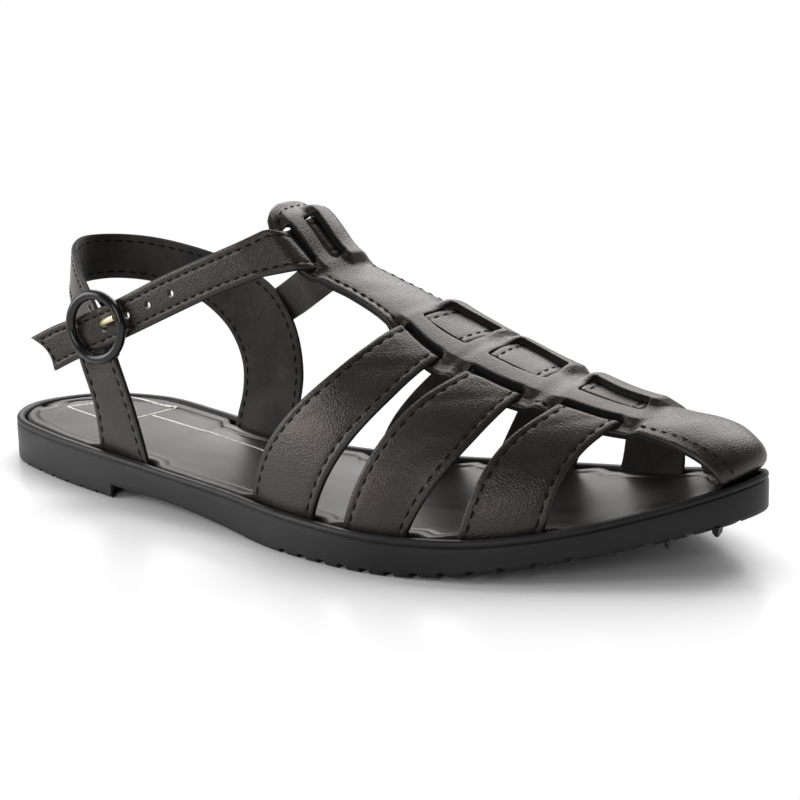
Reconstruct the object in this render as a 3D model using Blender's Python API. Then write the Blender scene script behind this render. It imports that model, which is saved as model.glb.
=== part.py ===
"""Right foot of a flat fisherman sandal, about EU 38, standing empty on its sole.

Every table is in millimetres in the shoe's own axes: x from the back of the heel towards the toe,
y from the outer side of the foot (minus) to the inner side (plus), z up from the floor.
The model's origin is HEEL_SEAT, the middle of the heel's flat rest face on the floor.
"""

import bmesh
import bpy
import numpy as np

MM = 0.001
HEEL_SEAT = np.array([34.5, 4.0, 0.0])

# Driving sizes.
SOLE_LENGTH = 256.0
BREAST_X = 70.0
WAIST_LIFT = 3.6
SPRING_START = 178.0
SPRING_POWER = 1.6
TOE_SPRING = 13.8
STRAP_THICK = 1.4
SPINE_THICK = 1.9
GAP = 0.35
STRAP_INSET = 5.0
FOOT_DEPTH = 2.9

# Plan of the sole's top edge. Columns: x, y of the outer side, y of the inner side.
OUTLINE = (
    (0.0, 6.0, 6.0),
    (5.0, -6.0, 21.3),
    (14.0, -14.7, 29.4),
    (35.0, -23.2, 33.6),
    (60.0, -29.8, 28.3),
    (90.0, -35.3, 20.7),
    (120.0, -40.4, 17.9),
    (148.0, -47.6, 24.2),
    (174.0, -49.6, 34.2),
    (200.0, -43.8, 40.0),
    (220.0, -32.3, 38.0),
    (235.0, -20.6, 31.2),
    (246.0, -11.4, 22.2),
    (253.0, -3.0, 15.2),
    (256.0, 7.5, 7.5),
)

# Height of the rim's top edge above the floor. Columns: x, z.
RIM = (
    (0.0, 13.6),
    (35.0, 13.6),
    (75.0, 13.0),
    (115.0, 11.5),
    (150.0, 10.7),
    (185.0, 10.4),
    (205.0, 11.4),
    (220.0, 13.6),
    (240.0, 18.6),
    (256.0, 23.9),
)

# Side wall of the sole from the tread up and over the rim. Columns: inset from the outline,
# height above the tread (tread rows) or below the rim (rim rows).
TREAD_ROWS = ((1.0, 0.0), (0.0, 1.0))
RIM_ROWS = ((0.3, 3.3), (0.8, 2.9), (0.3, 2.4), (0.2, 0.8), (1.0, 0.0), (2.1, 0.0), (2.7, 0.9), (2.7, 3.6))

# Tread grooves. Columns: first x, pitch, count.
HEEL_GROOVES = (14.0, 8.2, 7)
FOREFOOT_GROOVES = (146.5, 6.8, 15)
GROOVE_WIDTH = 2.2
GROOVE_DEPTH = 1.8
GROOVE_MARGIN = 3.2
CUTTER_HEIGHT = 6.0

# Insole between the rim's inner walls.
INSOLE_INSET = 3.4
INSOLE_NOTCH = 3.1
INSOLE_DISH = 1.2

# The last, one row for each section. Columns: station, x of the section's base, x of its crest,
# y of the crest, z of the crest, fullness of the arch (2 is an ellipse).
LAST = (
    (118.0, 118.0, 118.0, -9.9, 86.0, 2.78),
    (122.0, 122.0, 122.0, -8.7, 83.8, 2.71),
    (126.0, 126.0, 126.0, -7.3, 81.2, 2.65),
    (130.0, 130.0, 130.0, -6.0, 77.4, 2.58),
    (134.0, 134.0, 134.0, -4.6, 72.6, 2.51),
    (139.0, 139.0, 139.0, -3.1, 68.7, 2.43),
    (148.0, 148.0, 148.0, -0.8, 64.4, 2.30),
    (160.0, 160.0, 160.0, 0.3, 59.4, 2.15),
    (172.0, 172.0, 172.0, -0.3, 53.9, 2.03),
    (184.0, 184.0, 184.0, -1.0, 49.1, 1.94),
    (196.0, 196.0, 196.0, -0.3, 44.3, 1.89),
    (208.0, 208.0, 208.0, 1.3, 40.2, 1.90),
    (220.0, 220.0, 220.0, 3.6, 36.6, 1.98),
    (230.0, 229.0, 231.0, 5.6, 34.8, 2.08),
    (238.0, 235.5, 241.4, 7.1, 33.6, 2.16),
    (244.0, 240.0, 248.4, 8.2, 31.2, 2.23),
    (248.0, 242.6, 251.9, 8.4, 28.6, 2.15),
    (251.0, 244.2, 252.8, 8.4, 26.6, 2.00),
    (254.0, 244.5, 251.4, 8.4, 24.9, 1.70),
    (256.0, 244.7, 249.0, 8.4, 23.2, 1.50),
)

# Edges of the spine and toe cap. Columns: station, y of the outer edge, y of the inner edge.
SPINE = (
    (120.5, -12.5, 0.2),
    (121.0, -15.2, 1.5),
    (122.0, -18.2, 3.3),
    (123.5, -19.6, 4.0),
    (130.0, -20.6, 3.8),
    (139.0, -18.2, 3.2),
    (148.0, -16.4, 5.2),
    (160.0, -17.2, 9.4),
    (166.0, -19.3, 11.4),
    (172.0, -21.0, 13.0),
    (178.0, -21.6, 14.4),
    (184.0, -20.8, 15.2),
    (196.0, -18.6, 15.8),
    (208.0, -14.6, 15.6),
    (216.0, -12.2, 15.2),
    (222.0, -9.9, 15.2),
    (225.2, -8.7, 15.6),
    (226.0, -8.4, 16.4),
    (228.0, -8.0, 27.0),
    (229.5, -7.8, 40.0),
    (238.0, -7.2, 40.0),
    (244.0, -6.4, 40.0),
    (248.0, -5.3, 40.0),
    (256.0, -2.4, 40.0),
)

# Where a strap goes through the spine. Columns: rear and front station of the opening, then, as
# parts of the spine's width, slit from and to, window from and to. The bar is between the two.
OPENINGS = (
    (126.0, 137.2, 0.10, 0.225, 0.42, 0.58),
    (164.2, 180.4, 0.09, 0.165, 0.41, 0.73),
    (183.6, 201.0, 0.09, 0.165, 0.40, 0.75),
    (206.6, 225.2, 0.11, 0.205, 0.42, 0.63),
)

# How far forward the spine's inner edge is of its outer edge in one rung. Columns: station, x.
SLANT = (
    (120.0, 0.0),
    (150.0, 3.5),
    (174.0, 4.5),
    (190.0, 0.5),
    (256.0, 0.0),
)

# Cross straps. Columns: name, then rear and front x at each of STEPS, which run from the outer
# foot (-1) over the crest (0) to the inner foot (1).
CROSS_STRAPS = (
    (
        "cross_strap_rear",
        ((130.8, 155.2), (156.2, 172.2), (162.0, 176.4), (166.2, 179.8), (160.5, 175.0), (133.0, 156.0)),
    ),
    (
        "cross_strap_middle",
        ((165.6, 184.0), (177.9, 196.0), (184.0, 198.8), (185.2, 200.2), (180.0, 196.4), (166.0, 188.0)),
    ),
    (
        "cross_strap_front",
        ((196.5, 214.8), (202.5, 219.2), (207.2, 222.4), (208.2, 224.4), (206.4, 222.8), (201.0, 221.0)),
    ),
)
STEPS = (-1.0, -0.5, -0.28, 0.0, 0.5, 1.0)

# Quarter: one strap from the outer foot, round the back of the heel, to the inner foot.
# Columns: rear or lower edge x, y, z, then front or upper edge x, y, z.
QUARTER = (
    (61.0, -25.0, 10.3, 84.0, -29.5, 9.7),
    (61.4, -25.9, 16.0, 81.6, -28.7, 16.0),
    (60.8, -26.8, 26.0, 77.6, -28.2, 27.0),
    (57.2, -27.0, 36.5, 73.2, -28.0, 38.0),
    (53.4, -25.6, 44.0, 68.4, -27.4, 48.0),
    (49.6, -22.4, 50.0, 60.4, -24.6, 57.0),
    (44.4, -17.2, 53.2, 50.6, -18.6, 62.4),
    (38.4, -11.6, 54.4, 41.6, -11.8, 66.2),
    (32.4, -4.4, 55.2, 33.4, -4.0, 68.8),
    (28.4, 4.6, 55.6, 29.0, 5.2, 69.9),
    (30.6, 13.6, 55.6, 31.6, 14.2, 69.6),
    (38.6, 20.4, 54.6, 40.6, 20.2, 68.6),
    (50.0, 24.0, 51.6, 56.0, 23.6, 66.0),
    (61.5, 24.4, 47.4, 74.0, 24.2, 61.8),
    (71.0, 24.0, 40.0, 89.5, 23.4, 54.6),
    (76.4, 22.6, 31.0, 99.0, 20.8, 43.6),
    (77.2, 21.2, 22.4, 103.0, 18.2, 31.0),
    (75.9, 19.8, 15.0, 103.2, 15.4, 20.0),
    (75.4, 18.6, 10.1, 103.0, 13.8, 9.2),
)

# Ankle strap outside the tab. Columns: upper edge x, y, z, then lower edge x, y, z.
ANKLE_OUTER = (
    (43.6, -34.0, 45.4, 52.4, -33.8, 36.4),
    (52.5, -33.4, 49.5, 60.8, -33.0, 40.4),
    (64.5, -32.2, 54.8, 72.0, -31.8, 45.2),
    (78.0, -31.2, 60.7, 84.5, -30.9, 50.6),
    (92.0, -29.8, 67.2, 98.0, -29.6, 56.6),
    (106.0, -28.0, 72.3, 112.4, -28.0, 62.6),
    (117.0, -25.6, 76.5, 125.2, -25.6, 67.8),
)
ANKLE_INNER = (
    (117.3, 10.8, 69.7, 125.2, 11.2, 61.3),
    (105.0, 16.5, 63.0, 113.0, 16.3, 54.8),
    (92.9, 23.8, 57.2, 100.5, 23.0, 48.6),
    (84.5, 26.6, 52.7, 91.2, 25.5, 43.6),
    (77.8, 26.7, 48.0, 85.0, 24.9, 38.4),
)
# On the tab: x of the strap's upper and lower edge, where it reaches the tab and at the slit.
ANKLE_AT_TAB = (123.8, 133.4)
ANKLE_IN_SLIT = (127.0, 136.2)
# How the straps weave: height above the last where they lie over the spine's outer margin and
# where they run beneath its bar and inner margin. Beyond the bar they rise over RISE_RUN into the
# window and stay FAR_GAP beneath the raised inner margin.
PRESSED = 0.5
RAISED = 0.6
BULGE = 2.8
OVER = SPINE_THICK + GAP - PRESSED
BENEATH = RAISED - GAP - STRAP_THICK
FAR_GAP = 0.6
IN_WINDOW = BULGE - FAR_GAP - STRAP_THICK
FAR_END = RAISED - FAR_GAP - STRAP_THICK
RISE_RUN = 4.2
TAB_CLEARANCE = 0.35
# Holes along the ankle strap. Columns: x, radius. The prong goes through the first.
PUNCHED_HOLES = (
    (71.8, 1.55),
    (80.1, 0.8),
    (88.3, 0.8),
    (96.4, 0.8),
)
PIN_LENGTH = 8.0

# Buckle: a round ring whose bar lies behind the ankle strap.
BUCKLE_AT = np.array([71.2, -34.7, 51.2])
BUCKLE_RADIUS = 9.2
BUCKLE_WIRE = (1.65, 1.35)
BAR_RADIUS = 0.8
BAR_BEHIND = 5.2
# Bar seen along the strap. Columns: place across, in ring radii, and place behind, in BAR_BEHIND.
BAR_PATH = (
    (-0.97, 0.0),
    (-0.97, 0.55),
    (-0.97, 0.9),
    (-0.87, 1.0),
    (0.87, 1.0),
    (0.97, 0.9),
    (0.97, 0.55),
    (0.97, 0.0),
)
PRONG_RADIUS = 0.75
# Prong seen from above. Columns: distance along the strap from the bar, distance out from the ring.
PRONG_PATH = (
    (0.9, -4.0),
    (1.0, -3.3),
    (1.15, -2.4),
    (1.9, -1.2),
    (3.3, 0.2),
    (5.2, 1.5),
    (7.6, 2.45),
    (9.8, 2.6),
)


# ---------------------------------------------------------------- curves and surfaces


def through(knots, values, at):
    """A smooth curve through values at knots, read at the places in at."""
    knots = np.asarray(knots, float)
    values = np.asarray(values, float)
    at = np.clip(at, knots[0], knots[-1])
    slope = np.gradient(values, knots, axis=0)
    i = np.clip(np.searchsorted(knots, at, side="right") - 1, 0, len(knots) - 2)
    step = knots[i + 1] - knots[i]
    t = (at - knots[i]) / step
    if values.ndim > 1:
        t = t[..., None]
        step = step[..., None]
    a = (1 + 2 * t) * (1 - t) ** 2 * values[i] + t * (1 - t) ** 2 * step * slope[i]
    return a + t**2 * (3 - 2 * t) * values[i + 1] + t**2 * (t - 1) * step * slope[i + 1]


def chord(points, power=1.0):
    """Running length along a list of points."""
    steps = np.linalg.norm(np.diff(points, axis=0), axis=1) ** power
    return np.concatenate([[0.0], np.cumsum(steps)])


def column(table, k):
    return np.array([row[k] for row in table])


def outline_loop():
    """Fine points round the sole's plan, from the heel along the outer side, and inward normals."""
    table = np.array(OUTLINE)
    points = np.concatenate([table[:, [0, 1]], table[-2:0:-1][:, [0, 2]], table[:1, [0, 1]]])
    wrapped = np.concatenate([points[-4:-1], points, points[1:4]])
    knots = chord(wrapped, 0.5)
    at = np.linspace(knots[3], knots[-4], 1601)[:-1]
    fine = through(knots, wrapped, at)
    tangent = np.roll(fine, -1, axis=0) - np.roll(fine, 1, axis=0)
    tangent /= np.linalg.norm(tangent, axis=1)[:, None]
    return fine, np.stack([-tangent[:, 1], tangent[:, 0]], axis=1)


LOOP, INWARD = outline_loop()


def sides(inset):
    """The outline moved inward, split into its outer and inner side, each running heel to toe."""
    moved = LOOP + INWARD * inset
    heel, toe = np.argmin(moved[:, 0]), np.argmax(moved[:, 0])
    rolled = np.roll(moved, -heel, axis=0)
    turn = (toe - heel) % len(moved)
    outer = rolled[: turn + 1]
    inner = np.concatenate([rolled[turn:], rolled[:1]])[::-1]
    return outer, inner


def side_y(side, inset, x):
    """y of the outer (side 0) or inner (side 1) edge of the moved outline at x."""
    line = sides(inset)[side]
    order = np.argsort(line[:, 0], kind="stable")
    return np.interp(x, line[order, 0], line[order, 1])


def rim_z(x):
    return through(column(RIM, 0), column(RIM, 1), x)


def tread_z(x):
    """Height of the sole's underside: flat heel, raised waist, flat forefoot, sprung toe."""
    x = np.asarray(x, float)
    fall = np.clip((x - 88.0) / (142.0 - 88.0), 0, 1)
    waist = WAIST_LIFT * (1 - fall**2 * (3 - 2 * fall))
    beyond = np.clip(x - SPRING_START, 0, None) / (SOLE_LENGTH - SPRING_START)
    spring = TOE_SPRING * beyond**SPRING_POWER
    return np.where(x > BREAST_X + 0.2, waist, 0.0) + spring


BASE_X = np.linspace(60.0, 250.5, 400)
BASE_OUTER = side_y(0, STRAP_INSET, BASE_X)
BASE_INNER = side_y(1, STRAP_INSET, BASE_X)


def section(station):
    """Base x, crest x, y and z, fullness, and the outer and inner base y of the last at a station."""
    values = through(column(LAST, 0), np.array(LAST)[:, 1:], np.asarray(station, float))
    base_x, crest_x, crest_y, crest_z, full = np.moveaxis(values, -1, 0)
    outer = np.interp(base_x, BASE_X, BASE_OUTER)
    inner = np.interp(base_x, BASE_X, BASE_INNER)
    return base_x, crest_x, crest_y, crest_z, full, outer, inner


def last_point(station, angle):
    """Point of the last. The angle is -90 degrees at the outer foot, 0 at the crest, 90 inside."""
    base_x, crest_x, crest_y, crest_z, full, outer, inner = section(station)
    power = 2.0 / full
    reach = np.where(angle < 0, crest_y - outer, inner - crest_y)
    up = np.abs(np.cos(angle)) ** power
    base_z = rim_z(base_x) + 0.5
    y = crest_y + np.sign(angle) * reach * np.abs(np.sin(angle)) ** power
    return np.stack([base_x + (crest_x - base_x) * up, y, base_z + (crest_z - base_z) * up], axis=-1)


def on_last(station, angle, height=0.0):
    """Point that lies the given height above the last, along its normal."""
    station, angle = np.broadcast_arrays(np.asarray(station, float), np.asarray(angle, float))
    small = 0.03
    safe = np.clip(angle, -1.5, 1.5)
    along = last_point(station + 0.5, safe) - last_point(station - 0.5, safe)
    across = last_point(station, safe + small) - last_point(station, safe - small)
    normal = np.cross(along, across)
    normal /= np.linalg.norm(normal, axis=-1)[..., None]
    return last_point(station, angle) + normal * np.asarray(height)[..., None]


def angle_at(station, y):
    """Angle at which the last's section passes through y."""
    _, _, crest_y, _, full, outer, inner = section(station)
    off = y - crest_y
    reach = np.where(off < 0, crest_y - outer, inner - crest_y)
    part = np.clip(np.abs(off) / reach, 0, 1)
    return np.sign(off) * np.arcsin(part ** (full / 2.0))


def spine_y(station, across):
    """y across the spine, from 0 at its outer edge to 1 at its inner edge."""
    outer, inner = (through(column(SPINE, 0), column(SPINE, k), station) for k in (1, 2))
    return outer + (inner - outer) * across


# ---------------------------------------------------------------- meshes


def material(name, colour, roughness, metallic=0.0):
    made = bpy.data.materials.new(name)
    made.use_nodes = True
    shader = made.node_tree.nodes["Principled BSDF"]
    shader.inputs["Base Color"].default_value = (*colour, 1.0)
    shader.inputs["Roughness"].default_value = roughness
    shader.inputs["Metallic"].default_value = metallic
    return made


def make_object(name, points, faces, finish):
    """Mesh object in metres from points in the shoe's millimetres, with clean outward faces."""
    mesh = bpy.data.meshes.new(name)
    mesh.from_pydata([tuple(p) for p in (np.asarray(points) - HEEL_SEAT) * MM], [], faces)
    bm = bmesh.new()
    bm.from_mesh(mesh)
    bmesh.ops.remove_doubles(bm, verts=bm.verts, dist=1e-6)
    bmesh.ops.dissolve_degenerate(bm, edges=bm.edges, dist=1e-7)
    bmesh.ops.recalc_face_normals(bm, faces=bm.faces)
    bm.to_mesh(mesh)
    bm.free()
    mesh.shade_smooth()
    mesh.set_sharp_from_angle(angle=0.7)
    mesh.materials.append(finish)
    made = bpy.data.objects.new(name, mesh)
    bpy.context.collection.objects.link(made)
    return made


def sheet_solid(name, under, over, finish, cut=None):
    """Closed solid between two grids of points, with the cells marked in cut left open."""
    rows, cols = under.shape[:2]
    kept = np.ones((rows - 1, cols - 1), bool) if cut is None else ~cut
    points = np.concatenate([under.reshape(-1, 3), over.reshape(-1, 3)])
    lift = rows * cols
    faces = []
    for i in range(rows - 1):
        for j in range(cols - 1):
            if not kept[i, j]:
                continue
            a = i * cols + j
            b, c, d = a + 1, a + cols + 1, a + cols
            faces.append((a, d, c, b))
            faces.append((a + lift, b + lift, c + lift, d + lift))
            near = ((i - 1, j, a, b), (i, j + 1, b, c), (i + 1, j, c, d), (i, j - 1, d, a))
            for k, m, p, q in near:
                outside = k < 0 or m < 0 or k >= rows - 1 or m >= cols - 1
                if outside or not kept[k, m]:
                    faces.append((p, q, q + lift, p + lift))
    return make_object(name, points, faces, finish)


# ---------------------------------------------------------------- sole


def stations(count):
    """x of the sole's rungs, close together at the round ends and at the heel's breast."""
    even = SOLE_LENGTH / 2 * (1 - np.cos(np.linspace(0, np.pi, count)))
    away = even[np.abs(even - BREAST_X) > 3.0]
    return np.sort(np.concatenate([away, [BREAST_X, BREAST_X + 0.4]]))


def rung_ring(x, inset, height):
    """Loop of points: heel tip, outer side, toe tip, inner side back to the heel."""
    outer, inner = sides(0.0)
    ring = []
    for line, order in ((outer, slice(0, None)), (inner, slice(-2, 0, -1))):
        nearest = np.array([np.argmin(np.abs(line[:, 0] - at)) for at in x])
        nearest[0], nearest[-1] = 0, len(line) - 1
        exact = np.stack([x, np.interp(x, line[:, 0], line[:, 1])], axis=1)
        exact[0], exact[-1] = line[0], line[-1]
        tangent = line[np.minimum(nearest + 1, len(line) - 1)] - line[np.maximum(nearest - 1, 0)]
        tangent /= np.linalg.norm(tangent, axis=1)[:, None]
        turn = 1.0 if line is outer else -1.0
        normal = np.stack([-tangent[:, 1], tangent[:, 0]], axis=1) * turn
        normal[0], normal[-1] = (1.0, 0.0), (-1.0, 0.0)
        moved = exact + normal * inset
        ring.append(np.column_stack([moved, height(moved[:, 0])])[order])
    return np.concatenate(ring)


def make_outsole():
    rubber = material("sole_rubber", (0.012, 0.012, 0.013), 0.38)
    x = stations(51)
    rings = [rung_ring(x, inset, lambda at: tread_z(at) + up) for inset, up in TREAD_ROWS]
    rings += [rung_ring(x, inset, lambda at: rim_z(at) - down) for inset, down in RIM_ROWS]
    size, last = len(rings[0]), len(x) - 1
    points = np.concatenate(rings)
    faces = []
    for ring in range(len(rings) - 1):
        for k in range(size):
            a, b = ring * size + k, ring * size + (k + 1) % size
            faces.append((a, b, b + size, a + size))
    for start in (0, (len(rings) - 1) * size):
        for k in range(last):
            outer_a, outer_b = start + k, start + k + 1
            inner_a, inner_b = start + (size - k) % size, start + size - k - 1
            corners = (outer_a, outer_b, inner_b, inner_a)
            faces.append(tuple(dict.fromkeys(corners)))
    sole = make_object("outsole", points, faces, rubber)
    cutter = make_grooves()
    cut = sole.modifiers.new("tread_grooves", "BOOLEAN")
    cut.operation = "DIFFERENCE"
    cut.object = cutter
    return sole


def make_grooves():
    """Bars that cut the tread's cross grooves, which end inside the side wall."""
    bm = bmesh.new()
    for first, pitch, count in (HEEL_GROOVES, FOREFOOT_GROOVES):
        for k in range(count):
            x = first + pitch * k
            low, high = side_y(0, GROOVE_MARGIN, x), side_y(1, GROOVE_MARGIN, x)
            centre = (x, (low + high) / 2, float(tread_z(x)) + GROOVE_DEPTH - CUTTER_HEIGHT / 2)
            made = bmesh.ops.create_cube(bm, size=1.0)["verts"]
            for vert in made:
                scaled = np.array(vert.co) * (GROOVE_WIDTH, high - low, CUTTER_HEIGHT)
                vert.co = (scaled + centre - HEEL_SEAT) * MM
    mesh = bpy.data.meshes.new("groove_cutter")
    bm.to_mesh(mesh)
    bm.free()
    made = bpy.data.objects.new("groove_cutter", mesh)
    made.hide_render = True
    made.display_type = "WIRE"
    bpy.context.collection.objects.link(made)
    return made


def foot_spans(side):
    """Rear and front x of every strap foot on one side of the sole."""
    spans = [feet[0 if side == 0 else -1] for _, feet in CROSS_STRAPS]
    first, last = QUARTER[0], QUARTER[-1]
    spans.append((first[0], first[3]) if side == 0 else (last[0], last[3]))
    spans.append((243.0, 262.0) if side == 0 else (238.0, 262.0))
    return spans


def insole_inset(x, side):
    """The insole's edge steps inward where a strap goes down beside it."""
    depth = np.zeros_like(x)
    for rear, front in foot_spans(side):
        inside = np.clip((x - (rear - 2.5)) / 1.5, 0, 1) * np.clip(((front + 2.5) - x) / 1.5, 0, 1)
        depth = np.maximum(depth, inside)
    return INSOLE_INSET + INSOLE_NOTCH * depth


def make_insole():
    lining = material("insole_lining", (0.035, 0.032, 0.032), 0.62)
    ends = np.linspace(3.5, 12.0, 6), np.linspace(240.0, 247.2, 6)
    x = np.concatenate([ends[0], np.linspace(14.5, 238.0, 90), ends[1]])
    edges = []
    for side in (0, 1):
        plain = side_y(side, INSOLE_INSET, x)
        notched = side_y(side, INSOLE_INSET + INSOLE_NOTCH, x)
        part = (insole_inset(x, side) - INSOLE_INSET) / INSOLE_NOTCH
        edges.append(plain + (notched - plain) * part)
    across = np.array([0.0, 0.04, 0.25, 0.5, 0.75, 0.96, 1.0])
    y = edges[0][:, None] + (edges[1] - edges[0])[:, None] * across
    dish = INSOLE_DISH * (1 - (2 * across - 1) ** 2)
    edge_drop = np.array([0.7, 0.0, 0.0, 0.0, 0.0, 0.0, 0.7])
    base = rim_z(x)[:, None]
    over = np.stack([np.repeat(x[:, None], 7, 1), y, base - 0.4 - dish - edge_drop], axis=2)
    under = np.stack([over[..., 0], y, np.repeat(base - 3.2, 7, 1)], axis=2)
    return sheet_solid("insole", under, over, lining)


# ---------------------------------------------------------------- upper


def parts_of_width(station):
    """Slit from and to, window from and to, as parts of the spine's width at a station."""
    table = np.array(OPENINGS)
    middle = (table[:, 0] + table[:, 1]) / 2
    return [np.interp(station, middle, table[:, k]) for k in (2, 3, 4, 5)]


def crossed(station):
    """1 where a strap crosses the spine, easing to 0 beyond its edges."""
    lift = np.zeros_like(station)
    for rear, front, *_ in OPENINGS:
        up = np.clip((station - (rear - 3.2)) / 3.0, 0, 1)
        down = np.clip(((front + 3.2) - station) / 3.0, 0, 1)
        ease = np.minimum(up, down)
        lift = np.maximum(lift, ease**2 * (3 - 2 * ease))
    return lift


def spine_point_angle(station, across):
    return angle_at(station, spine_y(station, across))


def foot_of(row):
    """The same row of points taken down into the rim's tray."""
    foot = row.copy()
    foot[..., 2] = rim_z(row[..., 0]) - FOOT_DEPTH
    return foot


def make_vamp():
    """Toe cap, spine and throat tab in one piece, with a slit and a window at each crossing."""
    leather = material("strap_leather", (0.028, 0.027, 0.027), 0.42)
    rows = [120.5, 121.1, 122.0, 123.4]
    for rear, front, *_ in OPENINGS:
        count = max(int(round((rear - rows[-1]) / 3.5)), 1)
        rows += list(np.linspace(rows[-1], rear, count + 1)[1:])
        rows += list(np.linspace(rear, front, 6)[1:])
    rows += [226.4, 229.0, 232.5, 236.0, 239.5, 242.5, 245.2, 247.6, 249.6, 251.4, 253.0, 254.6, 256.0]
    rows = np.array(rows)
    slit_from, slit_to, window_from, window_to = parts_of_width(rows)
    none = np.zeros(len(rows))
    edges = [none, slit_from / 2, slit_from, slit_to, (slit_to + window_from) / 2, window_from]
    edges += [(window_from + window_to) / 2, window_to, (1 + window_to) / 2, none + 1]
    across = np.stack(edges, axis=1)
    slant = np.interp(rows, column(SLANT, 0), column(SLANT, 1))
    station = np.clip(rows[:, None] + slant[:, None] * (across - 0.5), 118.0, 256.0)
    angle = spine_point_angle(station, across)
    height = crossed(rows)[:, None] * np.array([-PRESSED] * 3 + [RAISED] * 4 + [BULGE, BULGE, RAISED])
    under = on_last(station, angle, height)
    over = on_last(station, angle, height + SPINE_THICK)
    cut = np.zeros((len(rows) - 1, across.shape[1] - 1), bool)
    middle = (rows[:-1] + rows[1:]) / 2
    for rear, front, *_ in OPENINGS:
        inside = (middle > rear) & (middle < front)
        cut[inside, 2] = True
        cut[inside, 5:7] = True
    under = np.concatenate([under, foot_of(under[-1:])])
    over = np.concatenate([over, foot_of(over[-1:])])
    cut = np.concatenate([cut, np.zeros((1, cut.shape[1]), bool)])
    return sheet_solid("vamp", under, over, leather, cut)


def weave(middle):
    """Places across the spine, and the strap's height above the last at each."""
    slit_from, slit_to, window_from, window_to = parts_of_width(middle)
    over_end, under_start = slit_from + 0.014, slit_to - 0.022
    places = [-0.32, -0.18, -0.06, 0.02, over_end, (over_end + under_start) / 2, under_start]
    heights = [0.0, 0.55 * OVER, OVER, OVER, OVER, (OVER + BENEATH) / 2, BENEATH]
    width = spine_y(middle, 1.0) - spine_y(middle, 0.0)
    risen = min(window_from + RISE_RUN / width, window_to - 0.02)
    places += [(slit_to + window_from) / 2, window_from, risen, window_to, (1 + window_to) / 2]
    heights += [BENEATH, BENEATH, IN_WINDOW, IN_WINDOW, IN_WINDOW]
    places += [1.0, 1.06, 1.3]
    heights += [FAR_END, FAR_END, 0.0]
    return np.array(places), np.array(heights)


def make_cross_strap(name, spans):
    """One band from the outer foot over and under the spine to the inner foot."""
    leather = bpy.data.materials["strap_leather"]
    across = np.array([0.0, 0.33, 0.67, 1.0])
    places, heights = weave(np.mean(spans[3]))

    def stations_at(angle):
        part = angle / (np.pi / 2)
        rear = through(STEPS, [span[0] for span in spans], part)
        front = through(STEPS, [span[1] for span in spans], part)
        return rear + (front - rear) * across

    angle = np.zeros((len(places), len(across)))
    for _ in range(6):
        angle = spine_point_angle(stations_at(angle), places[:, None])
    outer = np.linspace(0.0, 1.0, 10)[:-1, None]
    inner = np.linspace(0.0, 1.0, 10)[1:, None]
    right_angle = np.pi / 2
    lower = -right_angle + (angle[:1] + right_angle) * outer
    upper = angle[-1:] + (right_angle - angle[-1:]) * inner
    angle = np.concatenate([lower, angle, upper])
    height = np.concatenate([np.zeros(9), heights, np.zeros(9)])[:, None]
    station = stations_at(angle)
    under = on_last(station, angle, height)
    over = on_last(station, angle, height + STRAP_THICK)
    under = np.concatenate([foot_of(under[:1]), under, foot_of(under[-1:])])
    over = np.concatenate([foot_of(over[:1]), over, foot_of(over[-1:])])
    return sheet_solid(name, under, over, leather)


def half_thickness(rows):
    """Half the strap's thickness, as a vector at each row's two edges."""
    along = np.gradient((rows[:, :3] + rows[:, 3:]) / 2, axis=0)
    inward = np.cross(along, rows[:, 3:] - rows[:, :3])
    inward *= STRAP_THICK / 2 / np.linalg.norm(inward, axis=1)[:, None]
    return np.concatenate([inward, inward], axis=1)


def ribbon(rows, halves, step=4.0, across=(0.0, 0.33, 0.67, 1.0)):
    """Grids on the two faces of a strap ruled between two edges that run smoothly through rows."""
    knots = chord((rows[:, :3] + rows[:, 3:]) / 2)
    at = [0.0]
    for near, far in zip(knots[:-1], knots[1:]):
        count = max(int(np.ceil((far - near) / step)), 1)
        at += list(np.linspace(near, far, count + 1)[1:])
    across = np.array(across)[None, :, None]
    grids = []
    for face in (rows + halves, rows - halves):
        edges = through(knots, face, np.array(at))[:, None]
        grids.append(edges[..., :3] * (1 - across) + edges[..., 3:] * across)
    return grids


def make_quarter():
    leather = bpy.data.materials["strap_leather"]
    rows = np.array(QUARTER)
    return sheet_solid("quarter", *ribbon(rows, half_thickness(rows)), leather)


def tab_rows():
    """Edge points and half thicknesses of the ankle strap where it weaves through the tab."""
    places, heights = weave(np.mean(ANKLE_IN_SLIT))
    rows, halves = [], []
    for place, height in list(zip(places, heights))[2:-1]:
        inside, outside = [], []
        height += TAB_CLEARANCE * (height == OVER)
        for reach, slit in zip(ANKLE_AT_TAB, ANKLE_IN_SLIT):
            x = np.interp(place, [places[2], places[4]], [reach, slit])
            angle = spine_point_angle(x, place)
            inside.append(on_last(x, angle, height))
            outside.append(on_last(x, angle, height + STRAP_THICK))
        inside, outside = np.concatenate(inside), np.concatenate(outside)
        rows.append((inside + outside) / 2)
        halves.append((inside - outside) / 2)
    return np.array(rows), np.array(halves)


def make_ankle_strap():
    """From its free end through the buckle and the tab to its seam on the quarter's inner side."""
    leather = bpy.data.materials["strap_leather"]
    rows, halves = tab_rows()
    outer, inner = np.array(ANKLE_OUTER), np.array(ANKLE_INNER)
    rows = np.concatenate([outer, rows, inner])
    halves = np.concatenate([half_thickness(outer), halves, half_thickness(inner)])
    strap = sheet_solid("ankle_strap", *ribbon(rows, halves), leather)
    punch = make_punch(rows)
    cut = strap.modifiers.new("punched_holes", "BOOLEAN")
    cut.operation = "DIFFERENCE"
    cut.object = punch
    return strap


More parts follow.
